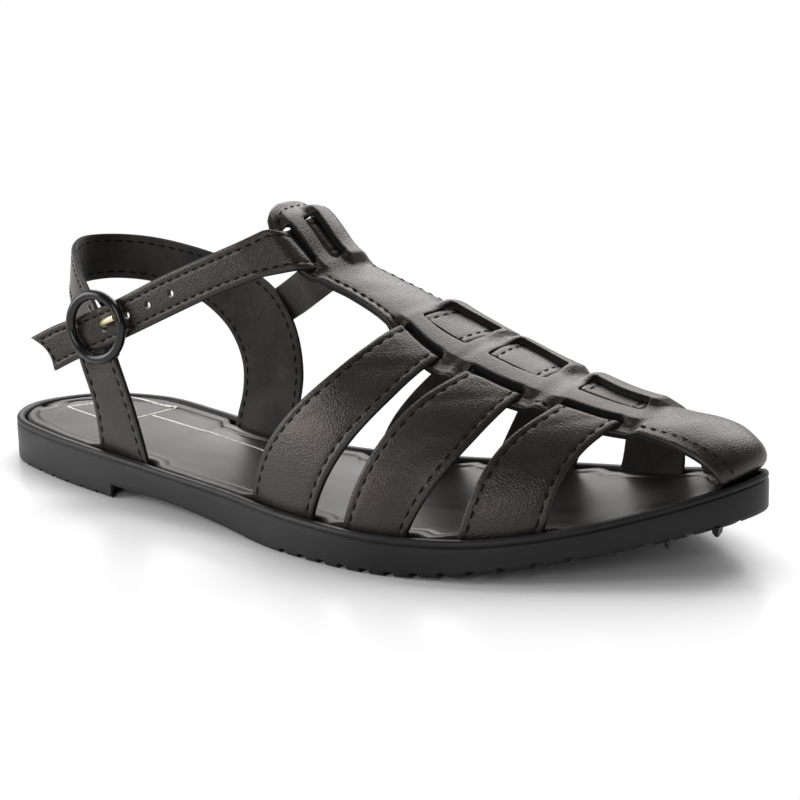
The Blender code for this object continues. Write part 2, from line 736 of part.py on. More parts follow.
def make_punch(rows):
    """Pins that cut the row of holes along the ankle strap's outer side."""
    middle = (rows[:, :3] + rows[:, 3:]) / 2
    order = slice(0, len(ANKLE_OUTER))
    bm = bmesh.new()
    for x, radius in PUNCHED_HOLES:
        centre = np.array([np.interp(x, middle[order, 0], middle[order, k]) for k in range(3)])
        pin = dict(segments=12, radius1=radius, radius2=radius, depth=PIN_LENGTH)
        made = bmesh.ops.create_cone(bm, cap_ends=True, **pin)
        for vert in made["verts"]:
            turned = np.array([vert.co.x, vert.co.z, vert.co.y])
            vert.co = (turned + centre - HEEL_SEAT) * MM
    bmesh.ops.recalc_face_normals(bm, faces=bm.faces)
    mesh = bpy.data.meshes.new("hole_cutter")
    bm.to_mesh(mesh)
    bm.free()
    made = bpy.data.objects.new("hole_cutter", mesh)
    made.hide_render = True
    made.display_type = "WIRE"
    bpy.context.collection.objects.link(made)
    return made


# ---------------------------------------------------------------- buckle


def buckle_axes():
    """Unit vectors of the buckle: along the strap, across it and out from the foot."""
    rows = np.array(ANKLE_OUTER)
    middle = (rows[:, :3] + rows[:, 3:]) / 2
    along = middle[3] - middle[1]
    along /= np.linalg.norm(along)
    across = rows[2, :3] - rows[2, 3:]
    across -= along * (across @ along)
    across /= np.linalg.norm(across)
    out = np.cross(along, across)
    if out[1] > 0:
        out = -out
    return along, across, out


def tube(path, radius, around):
    """Points and faces of a closed round tube along a path."""
    path = np.asarray(path, float)
    tangent = np.gradient(path, axis=0)
    tangent /= np.linalg.norm(tangent, axis=1)[:, None]
    guide = buckle_axes()[0] + 0.31 * buckle_axes()[1]
    first = np.cross(tangent, guide)
    first /= np.linalg.norm(first, axis=1)[:, None]
    second = np.cross(tangent, first)
    turn = np.linspace(0, 2 * np.pi, around, endpoint=False)
    ring = np.einsum("ik,j->ijk", first, np.cos(turn)) + np.einsum("ik,j->ijk", second, np.sin(turn))
    points = (path[:, None] + ring * radius).reshape(-1, 3)
    faces = []
    for i in range(len(path) - 1):
        for k in range(around):
            a, b = i * around + k, i * around + (k + 1) % around
            faces.append((a, b, b + around, a + around))
    faces.append(tuple(range(around))[::-1])
    faces.append(tuple(range((len(path) - 1) * around, len(path) * around)))
    return points, faces


def make_buckle():
    """Ring of oval section, with the bar bent back behind the strap and joined to it."""
    plastic = material("buckle_black", (0.01, 0.01, 0.01), 0.12)
    along, across, out = buckle_axes()
    turn = np.linspace(0, 2 * np.pi, 40, endpoint=False)
    small = np.linspace(0, 2 * np.pi, 10, endpoint=False)
    points, faces = [], []
    for angle in turn:
        radial = along * np.cos(angle) + across * np.sin(angle)
        for k in small:
            from_centre = BUCKLE_RADIUS + BUCKLE_WIRE[0] * np.cos(k)
            points.append(BUCKLE_AT + radial * from_centre + out * BUCKLE_WIRE[1] * np.sin(k))
    around = len(small)
    for i in range(len(turn)):
        here, after = i * around, (i + 1) % len(turn) * around
        for k in range(around):
            beside = (k + 1) % around
            faces.append((here + k, here + beside, after + beside, after + k))
    ring = make_object("buckle", points, faces, plastic)
    path = []
    for side, back in BAR_PATH:
        path.append(BUCKLE_AT + across * side * BUCKLE_RADIUS - out * back * BAR_BEHIND)
    bar_points, bar_faces = tube(path, BAR_RADIUS, 8)
    bar = make_object("buckle_bar_guide", bar_points, bar_faces, plastic)
    bar.hide_render = True
    bar.display_type = "WIRE"
    join = ring.modifiers.new("bar", "BOOLEAN")
    join.operation = "UNION"
    join.object = bar
    return ring


def make_prong():
    """Pin that starts at the bar, comes through the strap's first hole and rests on the ring."""
    brass = material("prong_brass", (0.75, 0.66, 0.42), 0.25, 1.0)
    along, across, out = buckle_axes()
    path = []
    for forward, front in PRONG_PATH:
        path.append(BUCKLE_AT + along * forward + out * front)
    fine = through(chord(path), np.array(path), np.linspace(0, chord(path)[-1], 15))
    points, faces = tube(fine, PRONG_RADIUS, 8)
    return make_object("buckle_prong", points, faces, brass)


def main():
    for old in list(bpy.data.objects):
        bpy.data.objects.remove(old, do_unlink=True)
    make_outsole()
    make_insole()
    make_vamp()
    for name, spans in CROSS_STRAPS:
        make_cross_strap(name, spans)
    make_quarter()
    make_ankle_strap()
    make_buckle()
    make_prong()


main()
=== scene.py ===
"""Looks of a right fisherman sandal: faux leather straps woven through a spine, on a rubber sole.

The shoe's own sizes are in millimetres: x from the back of the heel to the toe, y from the outer
side of the foot (minus) to the inner side (plus), z up from the floor. Meshes are made in metres
round the frame's origin, which is HEEL_SEAT. Faux leather here is a polyurethane coat pressed on a
woven backing, so it has a fine embossed grain and a satin skin.
"""

import math

import bmesh
import bpy
import numpy as np
from mathutils import Matrix

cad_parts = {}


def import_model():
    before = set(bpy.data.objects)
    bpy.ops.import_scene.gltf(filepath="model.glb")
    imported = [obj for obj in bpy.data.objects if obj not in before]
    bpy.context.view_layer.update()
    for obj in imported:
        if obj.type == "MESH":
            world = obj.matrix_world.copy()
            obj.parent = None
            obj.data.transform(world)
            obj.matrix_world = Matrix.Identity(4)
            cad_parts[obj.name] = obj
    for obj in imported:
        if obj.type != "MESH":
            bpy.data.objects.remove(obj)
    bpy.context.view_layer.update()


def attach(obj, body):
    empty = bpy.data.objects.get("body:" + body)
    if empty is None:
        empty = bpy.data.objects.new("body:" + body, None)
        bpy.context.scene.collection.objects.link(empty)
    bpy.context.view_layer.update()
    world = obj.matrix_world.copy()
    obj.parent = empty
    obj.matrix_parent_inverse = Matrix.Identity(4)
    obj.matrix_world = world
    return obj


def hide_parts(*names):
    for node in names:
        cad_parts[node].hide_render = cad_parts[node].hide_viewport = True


MM = 0.001
HEEL_SEAT = np.array([34.5, 4.0, 0.0])

# ---------------------------------------------------------------- sizes shared with the solids

SOLE_LENGTH = 256.0
BREAST_X = 70.0
WAIST_LIFT = 3.6
WAIST_FALL = (88.0, 142.0)
SPRING_START = 178.0
SPRING_POWER = 1.6
TOE_SPRING = 13.8
STRAP_THICK = 1.4
SPINE_THICK = 1.9
STRAP_INSET = 5.0
FOOT_DEPTH = 2.9
LAST_ABOVE_RIM = 0.5

# Plan of the sole's top edge. Columns: x, y of the outer side, y of the inner side.
OUTLINE = (
    (0.0, 6.0, 6.0),
    (5.0, -6.0, 21.3),
    (14.0, -14.7, 29.4),
    (35.0, -23.2, 33.6),
    (60.0, -29.8, 28.3),
    (90.0, -35.3, 20.7),
    (120.0, -40.4, 17.9),
    (148.0, -47.6, 24.2),
    (174.0, -49.6, 34.2),
    (200.0, -43.8, 40.0),
    (220.0, -32.3, 38.0),
    (235.0, -20.6, 31.2),
    (246.0, -11.4, 22.2),
    (253.0, -3.0, 15.2),
    (256.0, 7.5, 7.5),
)

# Height of the rim's top edge above the floor. Columns: x, z.
RIM = (
    (0.0, 13.6),
    (35.0, 13.6),
    (75.0, 13.0),
    (115.0, 11.5),
    (150.0, 10.7),
    (185.0, 10.4),
    (205.0, 11.4),
    (220.0, 13.6),
    (240.0, 18.6),
    (256.0, 23.9),
)

# Side wall from the tread up, over the bead and into the tray. Columns: inset from the outline,
# height above the tread (tread rows) or below the rim (rim rows).
TREAD_ROWS = ((1.3, 0.0), (0.75, 0.06), (0.3, 0.28), (0.05, 0.7), (0.0, 1.3))
RIM_ROWS = (
    (0.02, 3.6),
    (0.08, 2.6),
    (0.16, 2.15),
    (0.34, 2.0),
    (0.42, 1.85),
    (0.36, 1.7),
    (0.2, 1.55),
    (0.12, 1.3),
    (0.12, 0.9),
    (0.22, 0.5),
    (0.45, 0.18),
    (0.85, 0.02),
    (1.4, 0.0),
    (1.9, 0.08),
    (2.4, 0.4),
    (2.7, 1.0),
    (2.7, 3.6),
)

# Bars that cut the tread. Columns: first x, pitch, count, width, height, inset from the outline.
HEEL_GROOVES = (14.0, 8.2, 7)
TREAD_GROOVES = (
    (*HEEL_GROOVES, 2.2, 1.8, 3.2),
    (146.5, 6.8, 15, 2.2, 1.8, 3.2),
)
SIDE_NOTCHES = (
    (*HEEL_GROOVES, 1.9, 1.05, -3.0),
    (146.8, 6.9, 12, 2.8, 1.35, -3.0),
    (229.4, 3.9, 7, 1.3, 0.8, -3.0),
)
CUTTER_HEIGHT = 6.0
# Pointed lugs under the toe. Columns: x, inset from the side, width, drop.
TOE_LUGS = ((240.6, 1.0, 1.2, 1.6), (249.6, 1.2, 2.0, 1.9))

# Insole between the rim's inner walls.
INSOLE_INSET = 3.4
INSOLE_NOTCH = 3.1
INSOLE_DISH = 1.2
INSOLE_ENDS = (3.0, 247.8)
# How far past a strap's foot the insole steps in, and over what length the step eases.
NOTCH_REACH = 6.5
NOTCH_EASE = 6.0
# Rear and front x of the toe cap's foot, on the outer and on the inner side.
TOE_FEET = ((243.0, 262.0), (238.0, 262.0))
# Lines printed on the insole. Columns: x, y.
LABEL_FRAME = ((10.5, 10.0), (22.5, 27.4), (45.0, 25.0), (39.5, 1.4), (10.5, 10.0))
STRIPE = ((44.3, 14.4), (101.2, 1.3))
PRINT_WIDTH = 0.75

# The last, one row for each section. Columns: station, x of the section's base, x of its crest,
# y of the crest, z of the crest, fullness of the arch (2 is an ellipse).
LAST = (
    (118.0, 118.0, 118.0, -9.9, 86.0, 2.78),
    (122.0, 122.0, 122.0, -8.7, 83.8, 2.71),
    (126.0, 126.0, 126.0, -7.3, 81.2, 2.65),
    (130.0, 130.0, 130.0, -6.0, 77.4, 2.58),
    (134.0, 134.0, 134.0, -4.6, 72.6, 2.51),
    (139.0, 139.0, 139.0, -3.1, 68.7, 2.43),
    (148.0, 148.0, 148.0, -0.8, 64.4, 2.30),
    (160.0, 160.0, 160.0, 0.3, 59.4, 2.15),
    (172.0, 172.0, 172.0, -0.3, 53.9, 2.03),
    (184.0, 184.0, 184.0, -1.0, 49.1, 1.94),
    (196.0, 196.0, 196.0, -0.3, 44.3, 1.89),
    (208.0, 208.0, 208.0, 1.3, 40.2, 1.90),
    (220.0, 220.0, 220.0, 3.6, 36.6, 1.98),
    (230.0, 229.0, 231.0, 5.6, 34.8, 2.08),
    (238.0, 235.5, 241.4, 7.1, 33.6, 2.16),
    (244.0, 240.0, 248.4, 8.2, 31.2, 2.23),
    (248.0, 242.6, 251.9, 8.4, 28.6, 2.15),
    (251.0, 244.2, 252.8, 8.4, 26.6, 2.00),
    (254.0, 244.5, 251.4, 8.4, 24.9, 1.70),
    (256.0, 244.7, 249.0, 8.4, 23.2, 1.50),
)

# Edges of the spine and toe cap. Columns: station, y of the outer edge, y of the inner edge.
SPINE = (
    (120.5, -12.5, 0.2),
    (121.0, -15.2, 1.5),
    (122.0, -18.2, 3.3),
    (123.5, -19.6, 4.0),
    (130.0, -20.6, 3.8),
    (139.0, -18.2, 3.2),
    (148.0, -16.4, 5.2),
    (160.0, -17.2, 9.4),
    (166.0, -19.3, 11.4),
    (172.0, -21.0, 13.0),
    (178.0, -21.6, 14.4),
    (184.0, -20.8, 15.2),
    (196.0, -18.6, 15.8),
    (208.0, -14.6, 15.6),
    (216.0, -12.2, 15.2),
    (222.0, -9.9, 15.2),
    (225.2, -8.7, 15.6),
    (226.0, -8.4, 16.4),
    (228.0, -8.0, 27.0),
    (229.5, -7.8, 40.0),
    (238.0, -7.2, 40.0),
    (244.0, -6.4, 40.0),
    (248.0, -5.3, 40.0),
    (256.0, -2.4, 40.0),
)

# Where a strap goes through the spine. Columns: rear and front station of the opening, then, as
# parts of the spine's width, slit from and to, window from and to. The bar is between the two.
OPENINGS = (
    (126.0, 137.2, 0.10, 0.225, 0.42, 0.58),
    (164.9, 180.1, 0.09, 0.165, 0.33, 0.72),
    (184.6, 200.8, 0.09, 0.165, 0.335, 0.73),
    (207.6, 225.0, 0.11, 0.205, 0.41, 0.61),
)

# How far forward the spine's inner edge is of its outer edge in one rung. Columns: station, x.
SLANT = (
    (120.0, 0.0),
    (150.0, 3.5),
    (174.0, 4.5),
    (190.0, 0.5),
    (256.0, 0.0),
)

# Cross straps. Columns: name, then rear and front x at each of STEPS, which run from the outer
# foot (-1) over the crest (0) to the inner foot (1).
CROSS_STRAPS = (
    (
        "cross_strap_rear",
        ((130.8, 155.2), (156.2, 172.2), (162.0, 176.4), (166.2, 179.8), (160.5, 175.0), (133.0, 156.0)),
    ),
    (
        "cross_strap_middle",
        ((165.6, 184.0), (177.9, 196.0), (184.0, 198.8), (185.2, 200.2), (180.0, 196.4), (166.0, 188.0)),
    ),
    (
        "cross_strap_front",
        ((196.5, 214.8), (202.5, 219.2), (207.2, 222.4), (208.2, 224.4), (206.4, 222.8), (201.0, 221.0)),
    ),
)
STEPS = (-1.0, -0.5, -0.28, 0.0, 0.5, 1.0)

# Quarter: one strap from the outer foot, round the back of the heel, to the inner foot.
# Columns: rear or lower edge x, y, z, then front or upper edge x, y, z.
QUARTER = (
    (61.0, -25.0, 10.3, 84.0, -29.5, 9.7),
    (61.4, -25.9, 16.0, 81.6, -28.7, 16.0),
    (60.8, -26.8, 26.0, 77.6, -28.2, 27.0),
    (57.2, -27.0, 36.5, 73.2, -28.0, 38.0),
    (53.4, -25.6, 44.0, 68.4, -27.4, 48.0),
    (49.6, -22.4, 50.0, 60.4, -24.6, 57.0),
    (44.4, -17.2, 53.2, 50.6, -18.6, 62.4),
    (38.4, -11.6, 54.4, 41.6, -11.8, 66.2),
    (32.4, -4.4, 55.2, 33.4, -4.0, 68.8),
    (28.4, 4.6, 55.6, 29.0, 5.2, 69.9),
    (30.6, 13.6, 55.6, 31.6, 14.2, 69.6),
    (38.6, 20.4, 54.6, 40.6, 20.2, 68.6),
    (50.0, 24.0, 51.6, 56.0, 23.6, 66.0),
    (61.5, 24.4, 47.4, 74.0, 24.2, 61.8),
    (71.0, 24.0, 40.0, 89.5, 23.4, 54.6),
    (76.4, 22.6, 31.0, 99.0, 20.8, 43.6),
    (77.2, 21.2, 22.4, 103.0, 18.2, 31.0),
    (75.9, 19.8, 15.0, 103.2, 15.4, 20.0),
    (75.4, 18.6, 10.1, 103.0, 13.8, 9.2),
)

# Ankle strap outside the tab. Columns: upper edge x, y, z, then lower edge x, y, z.
ANKLE_OUTER = (
    (43.6, -34.0, 45.4, 52.4, -33.8, 36.4),
    (52.5, -33.4, 49.5, 60.8, -33.0, 40.4),
    (64.5, -32.2, 53.9, 72.0, -31.8, 45.0),
    (78.0, -31.2, 59.5, 84.5, -30.9, 50.5),
    (92.0, -29.8, 66.0, 98.0, -29.6, 56.6),
    (106.0, -28.0, 71.9, 112.4, -28.0, 62.9),
    (117.0, -25.6, 76.5, 125.2, -25.6, 67.8),
)
ANKLE_INNER = (
    (117.3, 10.8, 69.7, 125.2, 11.2, 61.3),
    (105.0, 16.5, 63.0, 113.0, 16.3, 54.8),
    (92.9, 23.8, 57.2, 100.5, 23.0, 48.6),
    (84.5, 26.6, 52.7, 91.2, 25.5, 43.6),
    (77.8, 26.7, 48.0, 85.0, 24.9, 38.4),
)
ANKLE_AT_TAB = (123.8, 133.4)
ANKLE_IN_SLIT = (127.0, 136.2)
# How the straps weave. The spine's near margin is pressed down, its bar raised and its far margin
# bulged over the strap, by BULGE times the TILT beside the strap's rear edge and its front edge.
PRESSED = 1.5
RAISED = 0.4
BULGE = 2.6
TILT = (1.0, 0.9)
GAP_OVER = 0.1
GAP_BENEATH = 0.15
GAP_FAR = 0.12
# The strap's own height above the last: over the near margin, under the bar, at the inner edge.
OVER = SPINE_THICK + GAP_OVER - PRESSED
BENEATH = RAISED - GAP_BENEATH - STRAP_THICK
FAR_END = RAISED - GAP_FAR - STRAP_THICK
# Beside the bar it comes up to these heights at its rear and front edge, then rises over a run.
BESIDE_BAR = (0.55, 0.6)
RISE_RUN = 0.7
# Beyond an opening the weave fades out: how far, and over what length.
CROSSING_REACH = 3.2
CROSSING_EASE = 3.0
TAB_CLEARANCE = 0.35
# Holes along the ankle strap. Columns: x, radius. The prong goes through the first.
PUNCHED_HOLES = (
    (71.8, 1.55),
    (80.8, 1.05),
    (88.3, 1.05),
    (96.4, 1.05),
)
PIN_LENGTH = 13.0

# Buckle: a round ring whose bar lies behind the ankle strap.
BUCKLE_AT = np.array([71.2, -34.7, 51.2])
BUCKLE_RADIUS = 9.2
BUCKLE_WIRE = (1.45, 1.3)
BAR_RADIUS = 0.8
BAR_BEHIND = 5.2
# Bar seen along the strap. Columns: place across, in ring radii, and place behind, in BAR_BEHIND.
BAR_PATH = (
    (-0.97, 0.0),
    (-0.97, 0.55),
    (-0.97, 0.9),
    (-0.87, 1.0),
    (0.87, 1.0),
    (0.97, 0.9),
    (0.97, 0.55),
    (0.97, 0.0),
)
PRONG_RADIUS = 0.9
# Prong seen from above. Columns: distance along the strap from the bar, distance out from the ring.
PRONG_PATH = (
    (0.9, -4.0),
    (1.0, -3.3),
    (1.15, -2.4),
    (1.9, -1.2),
    (3.3, 0.2),
    (5.2, 1.5),
    (7.6, 2.45),
    (9.8, 2.6),
)


# ---------------------------------------------------------------- sizes of the fine work

# A stitch line's distance from the edge, and the length of one stitch with its gap.
STITCH_IN = 2.1
STITCH_PITCH = 3.5
# Along one stitch: place, depth from its path, and share of THREAD, which is its half width.
THREAD = 0.24
STITCH_ALONG = np.array([0.0, 0.08, 0.3, 0.5, 0.7, 0.92, 1.0])
STITCH_DROP = np.array([-0.5, -0.14, 0.03, 0.08, 0.03, -0.14, -0.5]) + 0.05
STITCH_THIN = np.array([0.35, 0.85, 1.0, 1.0, 1.0, 0.85, 0.35])
STITCH_SIDES = 6
STITCH_TROUGH = 0.17
EDGE_ROLL = 0.55
EDGE_BULGE = 0.08
BEND_EASE = 1.4
FINE_STEP = 0.9
SLIT_CORNER = 0.8
WINDOW_CORNER = 0.7
# By how much each slit and window is shorter than the opening, at its rear and at its front end.
SLIT_TRIMS = (0.55, 1.6)
WINDOW_TRIMS = (0.55, 0.55)
# Distances from a strap's edge at which its fine mesh has a line, out to the plain middle.
EDGE_LINES = np.array([0.0, 0.1, 0.28, 0.55, 0.9, 1.3, 1.7, 2.1, 2.5, 3.0])
STITCH_LINE = int(np.argmin(np.abs(EDGE_LINES - STITCH_IN)))
# Lines of the vamp's mesh across its near margin, its bar and its far margin, as shares of each.
MARGIN_LINES = (0.0, 0.05, 0.13, 0.26, 0.42, 0.6, 0.76, 0.88, 0.96)
SLIT_LINES = (0.0, 0.5)
BAR_LINES = (0.0, 0.03, 0.09, 0.18, 0.3, 0.43, 0.57, 0.7, 0.82, 0.91, 0.97)
WINDOW_LINES = tuple(np.arange(6) / 6)
FAR_LINES = (0.0, 0.02, 0.06, 0.12, 0.2, 0.3, 0.42, 0.55, 0.68, 0.78, 0.86, 0.92, 0.965, 0.99, 1.0)
# Station at which the vamp begins to turn round the toe, over what length it turns, and where its
# inner side begins to go down into the tray.
TOE_TURN = 225.6
TOE_TURN_RUN = 3.9
TOE_FOOT_START = 229.4
# Faces that meet at more than this angle, in radians, keep a sharp edge.
SHARP_ANGLE = 0.8
SOLE_SHARP_ANGLE = 0.6
EDGE_LINE_STEP = 3.0
# Stitches round the tab's top. Columns: station, y.
TAB_STITCHES = (
    (127.2, -18.3),
    (125.0, -17.4),
    (123.6, -15.6),
    (123.0, -12.6),
    (122.8, -6.0),
    (122.9, -0.6),
    (123.6, 1.0),
    (125.2, 1.7),
    (128.0, 1.6),
)

# Creases pressed in by the last and by wear. Columns: from along, from across, to along, to across,
# half width, height (minus is a trough). Along is from a strap's first end. Across is from its rear
# edge, or from the ankle strap's upper edge. On the vamp, along is the station and across is y.
CREASES = {
    "cross_strap_rear": (
        (22, 3, 34, 15, 2.4, -0.20),
        (41, 4, 52, 13, 1.8, -0.16),
        (47, 6, 57, 12, 1.6, 0.12),
        (58, 3, 64, 13, 1.6, -0.14),
        (112, 4, 124, 14, 2.4, -0.18),
    ),
    "cross_strap_middle": (
        (14, 4, 26, 14, 2.6, -0.20),
        (35, 3, 44, 12, 1.8, -0.16),
        (48, 5, 56, 13, 1.6, 0.12),
        (98, 4, 112, 13, 2.2, -0.16),
    ),
    "cross_strap_front": (
        (12, 5, 22, 14, 2.4, -0.18),
        (30, 4, 40, 13, 1.8, -0.14),
        (86, 5, 98, 12, 2.0, -0.14),
    ),
    "quarter": (
        (24, 3, 34, 10, 2.6, -0.22),
        (44, 4, 52, 13, 2.2, -0.20),
        (92, 3, 100, 11, 2.4, -0.22),
        (118, 4, 132, 15, 3.0, -0.26),
        (140, 5, 150, 18, 3.0, -0.20),
        (160, 6, 176, 20, 3.4, -0.24),
    ),
    "ankle_strap": (
        (19.5, 1.5, 17.5, 12.5, 3.2, 0.55),
        (25.0, 2.0, 23.0, 12.0, 1.3, -0.35),
        (27.5, 2.0, 29.0, 6.0, 0.9, 0.25),
        (28.0, 8.0, 30.0, 11.5, 0.9, 0.25),
        (18, 2, 25, 10, 1.6, -0.18),
        (23, 3, 30, 11, 1.4, -0.16),
        (29, 2, 36, 10, 1.4, -0.14),
        (74, 3, 82, 11, 1.6, -0.14),
        (112, 2, 120, 11, 2.0, -0.18),
    ),
    "vamp": (
        (141, -12, 150, 2, 2.6, -0.14),
        (150, -12, 160, 6, 2.6, -0.12),
        (226, -4, 233, 12, 3.4, -0.22),
        (234, -2, 241, 14, 3.2, 0.16),
        (240, 2, 247, 18, 3.0, -0.18),
    ),
}


# ---------------------------------------------------------------- curves and surfaces


def unit(vectors):
    """The vectors scaled to a length of one."""
    return vectors / np.linalg.norm(vectors, axis=-1, keepdims=True)


def smooth(share):
    """A share from 0 to 1 that starts and ends softly."""
    share = np.clip(share, 0, 1)
    return share**2 * (3 - 2 * share)


def chord(points, power=1.0):
    """Running length along a list of points."""
    steps = np.linalg.norm(np.diff(points, axis=0), axis=1) ** power
    return np.concatenate([[0.0], np.cumsum(steps)])


def through(knots, values, at):
    """Smooth curves through rows of values at knots, read at the places in at."""
    knots, values = np.asarray(knots, float), np.asarray(values, float)
    at = np.clip(at, knots[0], knots[-1])
    slope = np.gradient(values, knots, axis=0)
    i = np.clip(np.searchsorted(knots, at, side="right") - 1, 0, len(knots) - 2)
    step = (knots[i + 1] - knots[i])[..., None]
    t = (at - knots[i])[..., None] / step
    near = (1 + 2 * t) * (1 - t) ** 2 * values[i] + t * (1 - t) ** 2 * step * slope[i]
    return near + t**2 * (3 - 2 * t) * values[i + 1] + t**2 * (t - 1) * step * slope[i + 1]


def follow(table, x):
    """The later columns of a table, as smooth curves read at x in its first column."""
    table = np.array(table)
    return np.moveaxis(through(table[:, 0], table[:, 1:], x), -1, 0)


def straight(knots, rows, at):
    """Straight runs between rows at knots, read at the places in at."""
    return np.stack([np.interp(at, knots, line) for line in rows.T], axis=-1)


def eased(knots, rows, at):
    """Straight runs between rows, their bends rounded off over a millimetre or so."""
    spots = np.clip(at + np.linspace(-BEND_EASE, BEND_EASE, 7)[:, None], knots[0], knots[-1])
    return straight(knots, rows, spots).mean(0)


def fine_rows(knots, step=FINE_STEP):
    """Places along a piece: every knot, and even steps of about the given length between them."""
    at = [knots[0]]
    for near, far in zip(knots[:-1], knots[1:]):
        count = max(int(np.ceil((far - near) / step)), 1)
        at += list(np.linspace(near, far, count + 1)[1:])
    return np.array(at)


def left_of(tangent):
    """Flat directions to the left of flat tangents."""
    return np.stack([-tangent[:, 1], tangent[:, 0]], axis=1)


def outline_loop():
    """Fine points round the sole's plan, from the heel along the outer side, and inward normals."""
    table = np.array(OUTLINE)
    points = np.concatenate([table[:, [0, 1]], table[-2:0:-1][:, [0, 2]], table[:1, [0, 1]]])
    wrapped = np.concatenate([points[-4:-1], points, points[1:4]])
    knots = chord(wrapped, 0.5)
    fine = through(knots, wrapped, np.linspace(knots[3], knots[-4], 1601)[:-1])
    return fine, left_of(unit(np.roll(fine, -1, axis=0) - np.roll(fine, 1, axis=0)))


LOOP, INWARD = outline_loop()


def sides(inset):
    """The outline moved inward, split into its outer and inner side, each running heel to toe."""
    moved = LOOP + INWARD * inset
    heel, toe = np.argmin(moved[:, 0]), np.argmax(moved[:, 0])
    rolled = np.roll(moved, -heel, axis=0)
    turn = (toe - heel) % len(moved)
    return rolled[: turn + 1], np.concatenate([rolled[turn:], rolled[:1]])[::-1]


def side_y(side, inset, x):
    """y of the outer (side 0) or inner (side 1) edge of the moved outline at x."""
    line = sides(inset)[side]
    order = np.argsort(line[:, 0], kind="stable")
    return np.interp(x, line[order, 0], line[order, 1])


def rim_z(x):
    """Height of the rim's top edge above the floor."""
    return follow(RIM, x)[0]


def tread_z(x):
    """Height of the sole's underside: flat heel, raised waist, flat forefoot, sprung toe."""
    x = np.asarray(x, float)
    waist = WAIST_LIFT * (1 - smooth((x - WAIST_FALL[0]) / (WAIST_FALL[1] - WAIST_FALL[0])))
    beyond = np.clip(x - SPRING_START, 0, None) / (SOLE_LENGTH - SPRING_START)
    return np.where(x > BREAST_X + 0.2, waist, 0.0) + TOE_SPRING * beyond**SPRING_POWER


BASE_X = np.linspace(60.0, 250.5, 400)
BASE_Y = [side_y(side, STRAP_INSET, BASE_X) for side in (0, 1)]


def section(station):
    """Base x, crest x, y and z, fullness, and the outer and inner base y of the last at a station."""
    values = follow(LAST, np.asarray(station, float))
    outer, inner = (np.interp(values[0], BASE_X, base_y) for base_y in BASE_Y)
    return *values, outer, inner


def last_point(station, angle):
    """Point of the last. The angle is -90 degrees at the outer foot, 0 at the crest, 90 inside."""
    base_x, crest_x, crest_y, crest_z, full, outer, inner = section(station)
    power = 2.0 / full
    reach = np.where(angle < 0, crest_y - outer, inner - crest_y)
    up = np.abs(np.cos(angle)) ** power
    base_z = rim_z(base_x) + LAST_ABOVE_RIM
    y = crest_y + np.sign(angle) * reach * np.abs(np.sin(angle)) ** power
    return np.stack([base_x + (crest_x - base_x) * up, y, base_z + (crest_z - base_z) * up], axis=-1)


def on_last(station, angle, height=0.0):
    """Point that lies the given height above the last, along its normal."""
    station, angle = np.broadcast_arrays(np.asarray(station, float), np.asarray(angle, float))
    small = 0.03
    safe = np.clip(angle, -1.5, 1.5)
    along = last_point(station + 0.5, safe) - last_point(station - 0.5, safe)
    across = last_point(station, safe + small) - last_point(station, safe - small)
    return last_point(station, angle) + unit(np.cross(along, across)) * np.asarray(height)[..., None]


def angle_at(station, y):
    """Angle at which the last's section passes through y."""
    _, _, crest_y, _, full, outer, inner = section(station)
    off = y - crest_y
    reach = np.where(off < 0, crest_y - outer, inner - crest_y)
    part = np.clip(np.abs(off) / reach, 0, 1)
    return np.sign(off) * np.arcsin(part ** (full / 2.0))


def spine_y(station, across):
    """y across the spine, from 0 at its outer edge to 1 at its inner edge."""
    outer, inner = follow(SPINE, station)
    return outer + (inner - outer) * across


def spine_angle(station, across):
    """Angle round the last of a place across the spine."""
    return angle_at(station, spine_y(station, across))


def foot_of(row):
    """The same row of points taken down into the rim's tray."""
    foot = row.copy()
    foot[..., 2] = rim_z(row[..., 0]) - FOOT_DEPTH
    return foot


def parts_of_width(station):
    """Slit from and to, window from and to, as parts of the spine's width at a station."""
    table = np.array(OPENINGS)
    return straight((table[:, 0] + table[:, 1]) / 2, table[:, 2:], station).T


def weave(middle):
    """Places across the spine, and the height above the last of the strap's two edges at each."""
    slit_from, slit_to, window_from, window_to = parts_of_width(middle)
    over_end, under_start = slit_from - 0.01, slit_to - 0.03
    places = [-0.32, -0.18, -0.06, 0.02, over_end, (over_end + under_start) / 2, under_start]
    near = [0.0, 0.55 * OVER, OVER, OVER, OVER, (OVER + BENEATH) / 2, BENEATH, BENEATH, BENEATH]
    width = spine_y(middle, 1.0) - spine_y(middle, 0.0)
    risen = min(window_from + RISE_RUN / width, window_to - 0.02)
    places += [(slit_to + window_from) / 2, window_from, risen, window_to, (1 + window_to) / 2]
    edges = []
    for share, level in zip(TILT, BESIDE_BAR):
        in_window = BULGE * share - GAP_FAR - STRAP_THICK
        edges.append(near + [level, in_window, in_window, FAR_END, FAR_END, 0.0])
    return np.array(places + [1.0, 1.06, 1.3]), np.array(edges).T


def centre_line(rows):
    """Midway between the two edges of a strap's rows."""
    return (rows[:, :3] + rows[:, 3:]) / 2


def half_thickness(rows):
    """Half the strap's thickness, as a vector at each row's two edges."""
    along = np.gradient(centre_line(rows), axis=0)
    inward = unit(np.cross(along, rows[:, 3:] - rows[:, :3])) * STRAP_THICK / 2
    return np.concatenate([inward, inward], axis=1)


# ---------------------------------------------------------------- fine meshes


def ring_faces(rings, size, start=0):
    """Faces between closed rings of points that follow each other."""
    faces = []
    for a in range(start, start + (rings - 1) * size, size):
        for k in range(size):
            b = (k + 1) % size
            faces.append((a + k, a + b, a + b + size, a + k + size))
    return faces


def bump(distance, width):
    """A soft hill, 1 at its middle and gone a little beyond its width."""
    return np.exp(-((distance / width) ** 2))


